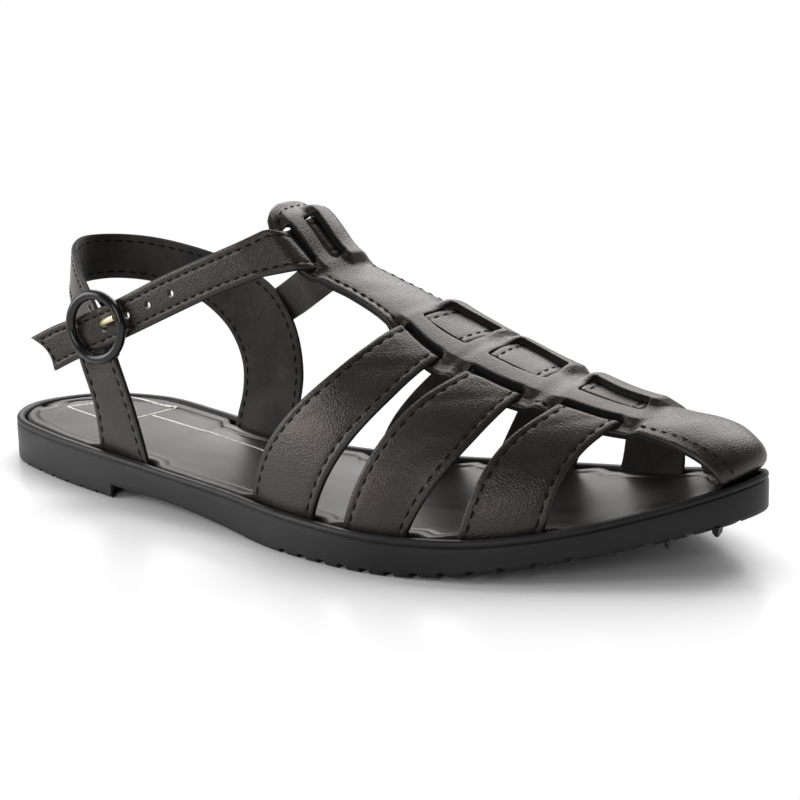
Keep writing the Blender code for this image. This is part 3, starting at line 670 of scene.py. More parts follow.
def crease_height(along, across, name):
    """Height that a piece's creases add at places along and across it."""
    height = np.zeros(np.broadcast(along, across).shape)
    for a0, c0, a1, c1, width, lift in CREASES[name]:
        run = np.array([a1 - a0, c1 - c0], float)
        length = np.linalg.norm(run)
        run /= length
        on = (along - a0) * run[0] + (across - c0) * run[1]
        off = (along - a0) * -run[1] + (across - c0) * run[0]
        beyond = np.clip(np.maximum(-on, on - length), 0, None)
        height += lift * bump(off, width) * bump(beyond, 3.0)
    return height


def free_edges(kept):
    """Corner pairs of the mesh lines that have a kept cell on one side only."""
    padded = np.pad(kept, 1)
    pairs = []
    for i, j in zip(*np.nonzero(padded[:-1, 1:-1] != padded[1:, 1:-1])):
        pairs.append(((i, j), (i, j + 1)))
    for i, j in zip(*np.nonzero(padded[1:-1, :-1] != padded[1:-1, 1:])):
        pairs.append(((i, j), (i + 1, j)))
    return pairs


def edge_distance(grid, pairs):
    """Distance from each point of a grid to the nearest of its free edges."""
    start = np.array([grid[a] for a, _ in pairs])
    run = np.array([grid[b] for _, b in pairs]) - start
    square = np.maximum((run**2).sum(1), 1e-9)
    nearest = []
    for row in grid:
        offset = row[:, None] - start
        part = np.clip((offset * run).sum(2) / square, 0, 1)
        nearest.append(np.linalg.norm(offset - part[..., None] * run, axis=2).min(1))
    return np.array(nearest)


def placed(name, data):
    """A new object of this data, linked into the scene."""
    made = bpy.data.objects.new(name, data)
    bpy.context.collection.objects.link(made)
    return made


def mesh_piece(name, points, faces, finishes, part_slot, stands_for=(), layers=None):
    """Smooth-shaded piece that rides on the shoe. Layers give each face its finish."""
    mesh = bpy.data.meshes.new(name)
    place = (np.asarray(points, float) - HEEL_SEAT) * MM
    mesh.from_pydata(place.tolist(), [], faces)
    for made in finishes:
        mesh.materials.append(made)
    if layers is not None:
        mesh.polygons.foreach_set("material_index", layers)
    bm = bmesh.new()
    bm.from_mesh(mesh)
    bmesh.ops.remove_doubles(bm, verts=bm.verts, dist=2e-6)
    bmesh.ops.dissolve_degenerate(bm, edges=bm.edges, dist=1e-6)
    bmesh.ops.recalc_face_normals(bm, faces=bm.faces)
    bm.to_mesh(mesh)
    bm.free()
    mesh.shade_smooth()
    mesh.set_sharp_from_angle(angle=SHARP_ANGLE)
    piece = placed(name, mesh)
    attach(piece, "root")
    if stands_for:
        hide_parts(*stands_for)
    return piece


def cut_away(piece, *shapes):
    """Cuts closed shapes out of a piece."""
    cutters = []
    for shape in shapes:
        mesh = bpy.data.meshes.new("cutter")
        shape.to_mesh(mesh)
        shape.free()
        cutters.append(placed("cutter", mesh))
        cut = piece.modifiers.new("cut", "BOOLEAN")
        cut.operation = "DIFFERENCE"
        cut.object = cutters[-1]
    graph = bpy.context.evaluated_depsgraph_get()
    whole = piece.data
    piece.data = bpy.data.meshes.new_from_object(piece.evaluated_get(graph))
    piece.modifiers.clear()
    bpy.data.meshes.remove(whole)
    for cutter in cutters:
        bpy.data.objects.remove(cutter, do_unlink=True)


def inward_along_edges(middle, pairs, kept):
    """Unit directions from the free edges into the kept cells beside them."""
    centre = (middle[:-1, :-1] + middle[1:, 1:]) / 2
    inward = np.zeros_like(middle)
    for p, q in pairs:
        step = (q[0] - p[0], q[1] - p[1])
        for cell in (p, (p[0] - step[1], p[1] - step[0])):
            inside = 0 <= cell[0] < kept.shape[0] and 0 <= cell[1] < kept.shape[1]
            if inside and kept[cell]:
                towards = centre[cell] - (middle[p] + middle[q]) / 2
                towards /= max(np.linalg.norm(towards), 1e-6)
                inward[p] += towards
                inward[q] += towards
    return inward / np.maximum(np.linalg.norm(inward, axis=2, keepdims=True), 1e-6)


def shell(name, under, over, finishes, stands_for=(), kept=None, part_slot="strap_leather"):
    """Closed shell between two grids, its cut edge a shallow groove between its two layers."""
    rows, cols = under.shape[:2]
    if kept is None:
        kept = np.ones((rows - 1, cols - 1), bool)
    index = np.arange(rows * cols).reshape(rows, cols)
    i, j = np.nonzero(kept)
    corners = np.stack([index[i, j], index[i, j + 1], index[i + 1, j + 1], index[i + 1, j]], axis=1)
    faces = (corners + rows * cols).tolist() + corners[:, ::-1].tolist()
    layers = [0] * len(corners) + [1] * len(corners)
    pairs = free_edges(kept)
    middle = (under + over) / 2
    inward = inward_along_edges(middle, pairs, kept)
    grids = [under, over]
    for height, depth in ((0.32, 0.0), (0.0, 0.2), (-0.32, 0.0)):
        grids.append(middle + (over - under) * height + inward * depth)
    from_top = [rows * cols * k for k in (1, 2, 3, 4, 0)]
    for p, q in pairs:
        for upper, lower in zip(from_top[:-1], from_top[1:]):
            faces.append((index[p] + upper, index[q] + upper, index[q] + lower, index[p] + lower))
            layers.append(2)
    used, renumbered = np.unique(np.array(faces), return_inverse=True)
    points = np.concatenate([grid.reshape(-1, 3) for grid in grids])[used]
    faces = renumbered.reshape(-1, 4).tolist()
    return mesh_piece(name, points, faces, finishes, part_slot, stands_for, layers)


def edge_relief(distance, along=None):
    """Rolled edge, the plump band beside it and the trough that the thread pulls in."""
    roll = -EDGE_ROLL * 0.6 * np.clip(1 - distance / EDGE_ROLL, 0, 1) ** 2
    band = EDGE_BULGE * bump(distance - 1.15, 0.6)
    pull = 1.0 if along is None else 1 + 0.2 * np.cos(2 * np.pi * along / STITCH_PITCH)
    trough = -STITCH_TROUGH * bump(distance - STITCH_IN, 0.45) * pull
    return roll, roll + band + trough


def columns(width, middles):
    """Places across a strap of each row's width, close together beside both edges."""
    near = EDGE_LINES[None] / width[:, None]
    inner = near[:, -1:] + (1 - 2 * near[:, -1:]) * np.linspace(0, 1, middles + 2)[None, 1:-1]
    return np.concatenate([near, inner, 1 - near[:, ::-1]], axis=1)


def stitches(name, runs, thread, pitch=STITCH_PITCH):
    """Rows of thread stitches along paths that lie in their troughs, each with its normals."""
    turn = np.linspace(0, 2 * np.pi, STITCH_SIDES, endpoint=False)[:, None]
    rings = len(STITCH_ALONG)
    points, faces = [], []
    for path, normal in runs:
        running = chord(path)
        count = max(int(round(running[-1] / pitch)), 1)
        for k in range(count):
            at = (k + 0.12 + 0.74 * STITCH_ALONG) * running[-1] / count
            centre = straight(running, path, at)
            up = unit(straight(running, normal, at))
            side = np.cross(up, unit(np.gradient(centre, axis=0)))
            round_it = side[:, None] * np.cos(turn) * 1.15 + up[:, None] * np.sin(turn) * 0.85
            centre = centre + up * STITCH_DROP[:, None]
            start = len(points) * rings * STITCH_SIDES
            points.append(centre[:, None] + round_it * THREAD * STITCH_THIN[:, None, None])
            end = start + rings * STITCH_SIDES
            faces += ring_faces(rings, STITCH_SIDES, start)
            faces.append(tuple(range(start, start + STITCH_SIDES))[::-1])
            faces.append(tuple(range(end - STITCH_SIDES, end)))
    mesh_piece(name, np.concatenate(points).reshape(-1, 3), faces, [thread], "strap_leather")


def edge_runs(under, over, rows=slice(None)):
    """Paths and normals of the stitch lines beside a strap's two edges."""
    lines = (STITCH_LINE, -1 - STITCH_LINE)
    return [(over[rows, k], unit(over[rows, k] - under[rows, k])) for k in lines]


# ---------------------------------------------------------------- straps


def cross_strap_grids(name, spans):
    """The two faces of a cross strap as fine grids, from foot to foot."""
    places, heights = weave(np.mean(spans[3]))
    coarse = np.array([0.0, 0.33, 0.67, 1.0])

    def stations_at(angle, across):
        rear, front = np.moveaxis(through(STEPS, spans, angle / (np.pi / 2)), -1, 0)
        return rear + (front - rear) * across

    angle = np.zeros((len(places), 4))
    for _ in range(6):
        angle = spine_angle(stations_at(angle, coarse), places[:, None])
    share = np.linspace(0.0, 1.0, 10)[:, None]
    lower = -np.pi / 2 + (angle[:1] + np.pi / 2) * share[:-1]
    upper = angle[-1:] + (np.pi / 2 - angle[-1:]) * share[1:]
    angle = np.concatenate([lower, angle, upper])
    height = np.pad(heights, ((9, 9), (0, 0)))
    inner_pair = slice(1, 3)
    middle = on_last(
        stations_at(angle, coarse)[:, inner_pair].mean(1), angle[:, inner_pair].mean(1), height.mean(1)
    )
    knots = chord(middle)
    at = fine_rows(knots)
    fine_angle = through(knots, angle, at)
    fine_height = straight(knots, height, at)
    edges = on_last(stations_at(fine_angle[:, [0, 3]], np.array([0.0, 1.0])), fine_angle[:, [0, 3]])
    width = np.linalg.norm(edges[:, 1] - edges[:, 0], axis=1)
    across = columns(width, 9)
    angle = np.stack([np.interp(a, coarse, row) for a, row in zip(across, fine_angle)])
    station = stations_at(angle, across)
    lift = fine_height[:, :1] + (fine_height[:, 1:] - fine_height[:, :1]) * across
    roll, relief = edge_relief(np.minimum(across, 1 - across) * width[:, None], at[:, None])
    relief = relief + crease_height(at[:, None], across * width[:, None], name)
    relief += 0.22 * np.clip(1 - (2 * across - 1) ** 2, 0, 1)
    down = np.linspace(0, 1, 5)[:-1, None, None]
    faces = []
    for level in (lift - roll * 0.5, lift + STRAP_THICK + relief):
        grid = on_last(station, angle, level)
        first, last = (foot_of(row) + (row - foot_of(row)) * down for row in (grid[:1], grid[-1:]))
        faces.append(np.concatenate([first, grid, last[::-1]]))
    return faces


def make_cross_strap(name, spans, leather, thread):
    under, over = cross_strap_grids(name, spans)
    shell(name + "_leather", under, over, leather, (name,))
    stitches(name + "_stitches", edge_runs(under, over), thread)


def ribbon_grids(name, rows, halves, path=through, crown=0.2, hollow=0.0):
    """The two faces of a strap ruled between two edges, as fine grids, and the places along it."""
    knots = chord(centre_line(rows))
    at = fine_rows(knots)
    edges = path(knots, rows, at)
    width = np.linalg.norm(edges[:, :3] - edges[:, 3:], axis=1)
    across = columns(width, 8)
    # The free end is cut as a hollow curve, so the middle of its first rows starts further along.
    fade = np.clip(1 - at / 12.0, 0, 1)[:, None] ** 2
    shifted = at[:, None] + hollow * (1 - (2 * across - 1) ** 2) * fade
    edge = path(knots, rows, shifted.ravel()).reshape(*shifted.shape, 6)
    half = path(knots, halves, shifted.ravel()).reshape(*shifted.shape, 6)
    share = across[..., None]
    centre = edge[..., :3] * (1 - share) + edge[..., 3:] * share
    inward = half[..., :3] * (1 - share) + half[..., 3:] * share
    from_edge = np.minimum(across, 1 - across) * width[:, None]
    if hollow:
        from_edge = np.minimum(from_edge, at[:, None])
    roll, relief = edge_relief(from_edge, at[:, None])
    relief = relief + crease_height(at[:, None], across * width[:, None], name)
    relief += crown * (1 - (2 * across - 1) ** 2)
    under = centre + inward + unit(inward) * (roll * 0.5)[..., None]
    over = centre - inward - unit(inward) * relief[..., None]
    return under, over, at


def make_quarter(leather, thread):
    rows = np.array(QUARTER)
    under, over, _ = ribbon_grids("quarter", rows, half_thickness(rows))
    shell("quarter_leather", under, over, leather, ("quarter",))
    stitches("quarter_stitches", edge_runs(under, over) + edge_runs(over, under), thread)


def tab_rows():
    """Edge points and half thicknesses of the ankle strap where it weaves through the tab."""
    places, heights = weave(np.mean(ANKLE_IN_SLIT))
    rows, halves = [], []
    for place, pair in list(zip(places, heights))[2:-1]:
        faces = []
        for reach, slit, height in zip(ANKLE_AT_TAB, ANKLE_IN_SLIT, pair):
            height += TAB_CLEARANCE * (height == OVER)
            x = np.interp(place, [places[2], places[4]], [reach, slit])
            angle = spine_angle(x, place)
            faces.append([on_last(x, angle, height), on_last(x, angle, height + STRAP_THICK)])
        inside, outside = np.concatenate(faces, axis=1)
        rows.append((inside + outside) / 2)
        halves.append((inside - outside) / 2)
    return np.array(rows), np.array(halves)


def hole_pins(middle):
    """Pins that cut the row of holes along the ankle strap's outer side."""
    bm = bmesh.new()
    for x, radius in PUNCHED_HOLES:
        centre = straight(middle[:, 0], middle, x)
        pin = dict(segments=28, radius1=radius, radius2=radius, depth=PIN_LENGTH)
        for vert in bmesh.ops.create_cone(bm, cap_ends=True, **pin)["verts"]:
            turned = np.array([vert.co.x, vert.co.z, -vert.co.y])
            vert.co = (turned + centre - HEEL_SEAT) * MM
    return bm


def make_ankle_strap(leather, thread):
    """From its hollow-cut free end through the buckle and the tab to its seam on the inner side."""
    in_tab, halves = tab_rows()
    ends = []
    for table in (ANKLE_OUTER, ANKLE_INNER):
        table = np.array(table)
        knots = chord(centre_line(table))
        ends.append(through(knots, table, fine_rows(knots, 2.0)))
    rows = np.concatenate([ends[0], in_tab, ends[1]])
    halves = np.concatenate([half_thickness(ends[0]), halves, half_thickness(ends[1])])
    under, over, at = ribbon_grids("ankle_strap", rows, halves, eased, crown=0.12, hollow=2.6)
    strap = shell("ankle_strap_leather", under, over, leather, ("ankle_strap",))
    cut_away(strap, hole_pins(centre_line(ends[0])))
    first = int(np.argmin(np.abs(at - STITCH_IN)))
    end = slice(STITCH_LINE, over.shape[1] - STITCH_LINE)
    runs = edge_runs(under, over, slice(first, None))
    runs.append((over[first, end], unit(over[first, end] - under[first, end])))
    stitches("ankle_strap_stitches", runs, thread, pitch=3.0)


# ---------------------------------------------------------------- spine and toe cap


def vamp_rows():
    """Stations of the vamp's fine rows, close together at the ends of each opening."""
    beside = np.array([-1.0, -0.4, 0.0, 0.08, 0.25, 0.55, 1.0, 1.6])
    fixed = [120.5, 120.75, 121.1, 121.6, 122.4, 123.4, 226.4, 229.5, 256.0]
    for rear, front, *_ in OPENINGS:
        fixed += [*(rear + beside), *(front - beside)]
    return fine_rows(np.unique(np.round(fixed, 3)), 1.0)


def pinched(rows, radius, width, trims):
    """Share of the spine's width by which an opening narrows in its rounded corners."""
    narrow = np.zeros(len(rows))
    for rear, front, *_ in OPENINGS:
        inside = np.minimum(rows - rear - trims[0], front - trims[1] - rows)
        corner = radius - np.sqrt(np.clip(radius**2 - np.clip(radius - inside, 0, radius) ** 2, 0, None))
        beyond = radius * np.clip(1 + inside / 3.0, 0, 1)
        narrow = np.maximum(narrow, np.where(inside >= 0, corner, beyond))
    return narrow / width


def crossed(rows):
    """1 where a strap crosses the spine, easing to 0 beyond its edges."""
    inside = [np.minimum(rows - rear, front - rows) for rear, front, *_ in OPENINGS]
    return smooth((np.max(inside, axis=0) + CROSSING_REACH) / CROSSING_EASE)


def tilt(rows):
    """Share of BULGE along each opening, from its rear end to its front end."""
    share = np.full(len(rows), TILT[0])
    for rear, front, *_ in OPENINGS:
        along = np.clip((rows - rear) / (front - rear), 0, 1)
        inside = (rows > rear - CROSSING_REACH) & (rows < front + CROSSING_REACH)
        share = np.where(inside, TILT[0] + (TILT[1] - TILT[0]) * along, share)
    return share


def vamp_height(rows, across):
    """Height of the spine's underside above the last: pressed down, raised or bulged as it weaves."""
    slit_from, slit_to, window_from, window_to = parts_of_width(rows)[..., None]
    far_middle = (1 + window_to) / 2
    bulge = BULGE * tilt(rows)[:, None]
    steps = (
        (slit_from, slit_to, -PRESSED, RAISED),
        ((window_from + window_to) / 2, window_to, RAISED, bulge),
        (far_middle, 1.0, bulge, RAISED),
    )
    height = np.full(across.shape, -PRESSED)
    for start, end, low, high in steps:
        height = height + (high - low) * smooth((across - start) / (end - start))
    return crossed(rows)[:, None] * height


def vamp_angles(rows, across):
    """Stations and angles of points across the spine, turning to go round the toe cap."""
    slant = np.interp(rows, *np.array(SLANT).T)
    station = np.clip(rows[:, None] + slant[:, None] * (across - 0.5), 118.0, 256.0)
    by_y = spine_angle(station, across)
    ends = spine_angle(station[:, [0, -1]], np.array([0.0, 1.0]))
    by_turn = ends[:, :1] + (ends[:, 1:] - ends[:, :1]) * across
    blend = np.clip((rows - TOE_TURN) / TOE_TURN_RUN, 0, 1)[:, None]
    return station, by_y * (1 - blend) + by_turn * blend


def vamp_lines(rows):
    """Places across the spine of the mesh's lines, and which of its cells are leather."""
    slit_from, slit_to, window_from, window_to = parts_of_width(rows)
    outer, inner = follow(SPINE, rows)
    width = np.minimum(inner, 34.0) - outer
    slit_pinch = pinched(rows, SLIT_CORNER, width, SLIT_TRIMS)
    window_pinch = pinched(rows, WINDOW_CORNER, width, WINDOW_TRIMS)
    cuts = [0 * rows, slit_from + slit_pinch, slit_to - slit_pinch]
    cuts += [window_from + window_pinch, window_to - window_pinch, 0 * rows + 1]
    lines = (MARGIN_LINES, SLIT_LINES, BAR_LINES, WINDOW_LINES, FAR_LINES)
    spans = []
    for start, end, share in zip(cuts, cuts[1:], lines):
        spans.append(start[:, None] + np.outer(end - start, share))
    across = np.concatenate(spans, axis=1)
    first = np.cumsum([len(share) for share in lines])
    kept = np.ones((len(rows) - 1, across.shape[1] - 1), bool)
    middle = (rows[:-1] + rows[1:]) / 2
    for rear, front, *_ in OPENINGS:
        for k, (behind, ahead) in ((0, SLIT_TRIMS), (2, WINDOW_TRIMS)):
            cells = slice(first[k], first[k + 1])
            kept[(middle > rear + behind) & (middle < front - ahead), cells] = False
    return across, kept


def make_vamp(leather, thread):
    """Tab, spine and toe cap in one, and the toe cap's foot on the inner side."""
    rows = vamp_rows()
    across, kept = vamp_lines(rows)
    station, angle = vamp_angles(rows, across)
    height = vamp_height(rows, across)
    plain = on_last(station, angle, height + SPINE_THICK)
    rim = set(free_edges(np.ones_like(kept)))
    toe_end = len(rows) - 1
    outline = [pair for pair in rim if not pair[0][0] == pair[1][0] == toe_end]
    from_outline = edge_distance(plain, outline)
    from_holes = edge_distance(plain, [pair for pair in free_edges(kept) if pair not in rim])
    roll, relief = edge_relief(from_outline)
    hole_roll = -0.2 * np.clip(1 - from_holes / 0.4, 0, 1) ** 2
    roll = np.minimum(roll, hole_roll)
    relief = np.where(from_holes < from_outline, np.minimum(relief, hole_roll), relief)
    relief = relief + crease_height(station, plain[..., 1], "vamp")
    under = on_last(station, angle, height - roll * 0.5)
    over = on_last(station, angle, height + SPINE_THICK + relief)
    down = np.linspace(0, 1, 6)[1:, None, None]
    drop = np.linspace(0, 1, 4)[1:, None]
    feet, skirts = [], []
    for grid in (under, over):
        feet.append(np.concatenate([grid, grid[-1:] + (foot_of(grid[-1:]) - grid[-1:]) * down]))
        edge = grid[rows > TOE_FOOT_START, -1:]
        skirts.append(np.concatenate([edge, edge + (foot_of(edge) - edge) * drop], axis=1))
    kept = np.pad(kept, ((0, 5), (0, 0)), constant_values=True)
    shell("vamp_leather", *feet, leather, ("vamp",), kept)
    shell("toe_cap_inner_foot", *skirts, leather)
    vamp_stitches(thread)


def vamp_path(points):
    """Smooth stitch line through given points of station and y, with its normals."""
    points = np.array(points, float)
    knots = chord(points)
    station, y = through(knots, points, np.linspace(0, knots[-1], int(knots[-1] / 0.5))).T
    outer, inner = follow(SPINE, station)
    share = np.clip((y - outer) / (inner - outer), 0, 1)
    height = vamp_height(station, share[:, None])[:, 0]
    top, over = (on_last(station, angle_at(station, y), height + SPINE_THICK - sunk) for sunk in (0.0, 0.12))
    return over, unit(top - over)


def edge_line(side, first, last, inset):
    """Stitch line beside the spine's outer (side 0) or inner (side 1) edge."""
    at = np.linspace(first, last, max(int((last - first) / EDGE_LINE_STEP), 2))
    y = follow(SPINE, at)[side] + inset * (1 - 2 * side)
    return vamp_path(np.column_stack([at, y]))


def vamp_stitches(thread):
    """Lines beside both edges between the crossings, round the tab's top and along the toe cap."""
    runs = []
    for (_, front, *_), (rear, *_) in zip(OPENINGS[:-1], OPENINGS[1:]):
        if rear - front >= 6:
            runs.append(edge_line(0, front + 1.5, rear - 1.5, STITCH_IN + 0.2))
    for first, last in ((129.0, 163.0), (166.0, 226.0)):
        runs.append(edge_line(1, first, last, STITCH_IN + 0.2))
    runs.append(vamp_path(TAB_STITCHES))
    runs.append(edge_line(0, 227.0, 253.0, STITCH_IN + 0.5))
    stitches("vamp_stitches", runs, thread, pitch=2.9)


# ---------------------------------------------------------------- sole and insole


def rungs(count):
    """x of the sole's rungs, close together at the round ends and at the heel's breast."""
    even = SOLE_LENGTH / 2 * (1 - np.cos(np.linspace(0, np.pi, count)))
    away = even[np.abs(even - BREAST_X) > 3.0]
    return np.sort(np.concatenate([away, [BREAST_X, BREAST_X + 0.4]]))


def rung_ring(x, inset, height):
    """Loop of points: heel tip, outer side, toe tip, inner side back to the heel."""
    ring = []
    for line, order, turn in zip(sides(0.0), (slice(0, None), slice(-2, 0, -1)), (1.0, -1.0)):
        nearest = np.argmin(np.abs(line[:, 0] - x[:, None]), axis=1)
        nearest[0], nearest[-1] = 0, len(line) - 1
        exact = np.stack([x, np.interp(x, line[:, 0], line[:, 1])], axis=1)
        exact[0], exact[-1] = line[0], line[-1]
        ahead = line[np.minimum(nearest + 1, len(line) - 1)] - line[np.maximum(nearest - 1, 0)]
        normal = left_of(unit(ahead)) * turn
        normal[0], normal[-1] = (1.0, 0.0), (-1.0, 0.0)
        moved = exact + normal * inset
        ring.append(np.column_stack([moved, height(moved[:, 0])])[order])
    return np.concatenate(ring)


def make_outsole(rubber):
    """Ribbed sole with its beaded rim, grooved tread, side notches and toe lugs."""
    x = rungs(231)
    rings = [rung_ring(x, inset, lambda at: tread_z(at) + up) for inset, up in TREAD_ROWS]
    rings += [rung_ring(x, inset, lambda at: rim_z(at) - down) for inset, down in RIM_ROWS]
    size = len(rings[0])
    faces = ring_faces(len(rings), size)
    for start in (0, (len(rings) - 1) * size):
        for k in range(len(x) - 1):
            corners = (start + k, start + k + 1, start + size - k - 1, start + (size - k) % size)
            faces.append(tuple(dict.fromkeys(corners)))
    sole = mesh_piece("outsole_rubber", np.concatenate(rings), faces, [rubber], "sole_rubber", ("outsole",))
    cut_away(sole, cross_bars(TREAD_GROOVES), cross_bars(SIDE_NOTCHES))
    sole.data.shade_smooth()
    sole.data.set_sharp_from_angle(angle=SOLE_SHARP_ANGLE)
    make_toe_lugs(rubber)


def cross_bars(table):
    """Bars across the sole that cut the grooves of its tread or the notches along its side."""
    bm = bmesh.new()
    for first, pitch, count, width, height, inset in table:
        for x in first + pitch * np.arange(count):
            low, high = side_y(0, 0.0, x) + inset, side_y(1, 0.0, x) - inset
            centre = (x, (low + high) / 2, float(tread_z(x)) + height - CUTTER_HEIGHT / 2)
            for vert in bmesh.ops.create_cube(bm, size=1.0)["verts"]:
                scaled = np.array(vert.co) * (width, high - low, CUTTER_HEIGHT)
                vert.co = (scaled + centre - HEEL_SEAT) * MM
    return bm


def make_toe_lugs(rubber):
    """Small tapered lugs that stand down from the tread under the sprung toe, on both sides."""
    points, faces = [], []
    square = np.array([(-1, -1), (1, -1), (1, 1), (-1, 1)]) / 2
    for x, inset, width, drop in TOE_LUGS:
        for side, inward in ((0, 1), (1, -1)):
            a = len(points)
            middle = np.array([x, side_y(side, 0.0, x) + inset * inward])
            for share, taper in ((-0.4, 1.0), (0.45, 0.8), (1.0, 0.3)):
                ring = middle + square * (width * taper, width * 1.4 * taper)
                points += [(*corner, tread_z(x) - drop * share) for corner in ring]
            faces += ring_faces(3, 4, a)
            faces += [(a + 3, a + 2, a + 1, a), (a + 8, a + 9, a + 10, a + 11)]
    mesh_piece("toe_lugs", points, faces, [rubber], "sole_rubber")


def foot_spans(side):
    """Rear and front x of every foot on the outer (0) or inner (1) side of the sole."""
    quarter = QUARTER[-side]
    return [spans[-side] for _, spans in CROSS_STRAPS] + [(quarter[0], quarter[3]), TOE_FEET[side]]


def insole_edge(x, side):
    """y of the insole's edge, which steps inward where a strap goes down beside it."""
    depth = np.zeros_like(x)
    for rear, front in foot_spans(side):
        ends = np.clip((np.array([x - rear, front - x]) + NOTCH_REACH) / NOTCH_EASE, 0, 1)
        depth = np.maximum(depth, ends.prod(0))
    plain = side_y(side, INSOLE_INSET, x)
    return plain + (side_y(side, INSOLE_INSET + INSOLE_NOTCH, x) - plain) * smooth(depth)


def make_insole(cover, backing, ink):
    """Pad with a dished top, rolled at its edge, with a pressed line along it and soft waves."""
    runs = ((3.5, 12.0, 14), (13.0, 240.0, 228), (241.0, 247.2, 8))
    x = np.concatenate([np.linspace(*run) for run in runs])
    outer, inner = (insole_edge(x, side)[:, None] for side in (0, 1))
    width = inner - outer
    lines = np.array([0.0, 0.15, 0.5, 1.0, 1.8, 2.8, 3.6, 4.1, 4.5, 4.9, 5.4, 6.4])
    near = np.minimum(lines / width, 0.46 * lines / lines[-1])
    middle = near[:, -1:] + (1 - 2 * near[:, -1:]) * np.linspace(0, 1, 20)[1:-1]
    across = np.concatenate([near, middle, 1 - near[:, ::-1]], axis=1)
    from_side = np.minimum(across, 1 - across) * width
    from_edge = np.minimum(from_side, np.minimum(x - INSOLE_ENDS[0], INSOLE_ENDS[1] - x)[:, None])
    dish = INSOLE_DISH * (1 - (2 * across - 1) ** 2)
    roll = 0.7 * np.clip(1 - from_edge / 1.1, 0, 1) ** 2
    line = 0.32 * bump(from_edge - 4.5, 0.5)
    plump = 0.18 * bump(from_edge - 2.6, 1.4)
    waves = 0.14 * (np.sin(x / 5.3) * np.sin(x / 11.0 + 1.0))[:, None] * bump(from_edge - 7, 5.0)
    rim = rim_z(x)[:, None]
    top = rim - 0.4 - dish - roll - line + plump + waves
    flat = (x[:, None] + 0 * top, outer + width * across)
    under, over = (np.stack([*flat, z + 0 * top], axis=2) for z in (rim - 3.2, top))
    shell("insole_pad", under, over, [cover, backing, backing], ("insole",), part_slot="insole_lining")
    printed_line("insole_label_frame", np.array(LABEL_FRAME), over, ink)
    printed_line("insole_stripe", np.array(STRIPE), over, ink)


def printed_line(name, corners, top, ink):
    """A flat printed line on the insole, laid just above its surface."""
    run = chord(corners)
    at = np.unique(np.concatenate([run, np.arange(0, run[-1], 1.5)]))
    centre = straight(run, corners, at)
    ahead = np.gradient(centre, axis=0)
    if np.allclose(corners[0], corners[-1]):
        ahead[0] = ahead[-1] = centre[1] - centre[-2]
    side = left_of(unit(ahead)) * PRINT_WIDTH / 2
    points = []
    for x, y in np.concatenate([centre - side, centre, centre + side]):
        row = top[np.searchsorted(top[:, 0, 0], x)]
        points.append((x, y, np.interp(y, row[:, 1], row[:, 2]) + 0.05))
    count = len(at)
    starts = [k for k in range(2 * count) if k % count != count - 1]
    faces = [(k, k + 1, k + 1 + count, k + count) for k in starts]
    mesh_piece(name, points, faces, [ink], "insole_lining")


# ---------------------------------------------------------------- buckle


def buckle_axes():
    """Unit vectors of the buckle: along the strap, across it and out from the foot."""
    rows = np.array(ANKLE_OUTER)
    middle = centre_line(rows)
    along = unit(middle[3] - middle[1])
    across = rows[2, :3] - rows[2, 3:]
    across = unit(across - along * (across @ along))
    out = np.cross(along, across)
    return along, across, out * -np.sign(out[1])


def tube(path, radius, around):
    """Points and faces of a closed round tube along a smooth path."""
    knots = chord(path)
    path = through(knots, path, np.linspace(0, knots[-1], 60))
    along, across, _ = buckle_axes()
    tangent = unit(np.gradient(path, axis=0))
    first = unit(np.cross(tangent, along + 0.31 * across))
    second = np.cross(tangent, first)
    turn = np.linspace(0, 2 * np.pi, around, endpoint=False)[:, None]
    points = path[:, None] + (first[:, None] * np.cos(turn) + second[:, None] * np.sin(turn)) * radius
    faces = ring_faces(len(path), around)
    faces += [tuple(range(around))[::-1], tuple(range((len(path) - 1) * around, len(path) * around))]
    return points.reshape(-1, 3), faces


def make_buckle(acetal):
    """Ring of oval section with its bar bent back behind the strap."""
    along, across, out = buckle_axes()
    turn = np.linspace(0, 2 * np.pi, 97)
    small = np.linspace(0, 2 * np.pi, 24, endpoint=False)[:, None]
    radial = np.outer(np.cos(turn), along) + np.outer(np.sin(turn), across)
    reach = BUCKLE_RADIUS + BUCKLE_WIRE[0] * np.cos(small)
    points = BUCKLE_AT + radial[:, None] * reach + out * BUCKLE_WIRE[1] * np.sin(small)
    faces = ring_faces(len(turn), len(small))
    mesh_piece("buckle_ring", points.reshape(-1, 3), faces, [acetal], "buckle_black", ("buckle",))
    path = [BUCKLE_AT + across * side * BUCKLE_RADIUS - out * back * BAR_BEHIND for side, back in BAR_PATH]
    mesh_piece("buckle_bar", *tube(path, BAR_RADIUS, 14), [acetal], "buckle_black")


def make_prong(brass):
    along, _, out = buckle_axes()
    path = [BUCKLE_AT + along * forward + out * front for forward, front in PRONG_PATH]
    mesh_piece("prong_pin", *tube(path, PRONG_RADIUS, 20), [brass], "prong_brass", ("buckle_prong",))


# ---------------------------------------------------------------- finishes

# Sockets of a node that mixes colours: the share, the two colours and the mixed colour it gives.
MIX_SHARE, MIX_FROM, MIX_TO, MIX_COLOUR = 0, 6, 7, 2


def linear(hex_colour):
    """Linear colour of an sRGB hex value."""
    parts = [int(hex_colour[k : k + 2], 16) / 255 for k in (1, 3, 5)]
    return tuple(p / 12.92 if p <= 0.04045 else ((p + 0.055) / 1.055) ** 2.4 for p in parts) + (1.0,)


def per_metre(millimetres):
    """Texture scale that gives features of this size."""
    return 1.0 / (millimetres * MM)


def wire(node, inputs):
    """Gives sockets their values, or links them where the value is another node's output."""
    for name, value in inputs.items():
        if isinstance(value, bpy.types.NodeSocket):
            node.id_data.links.new(value, node.inputs[name])
        else:
            node.inputs[name].default_value = value


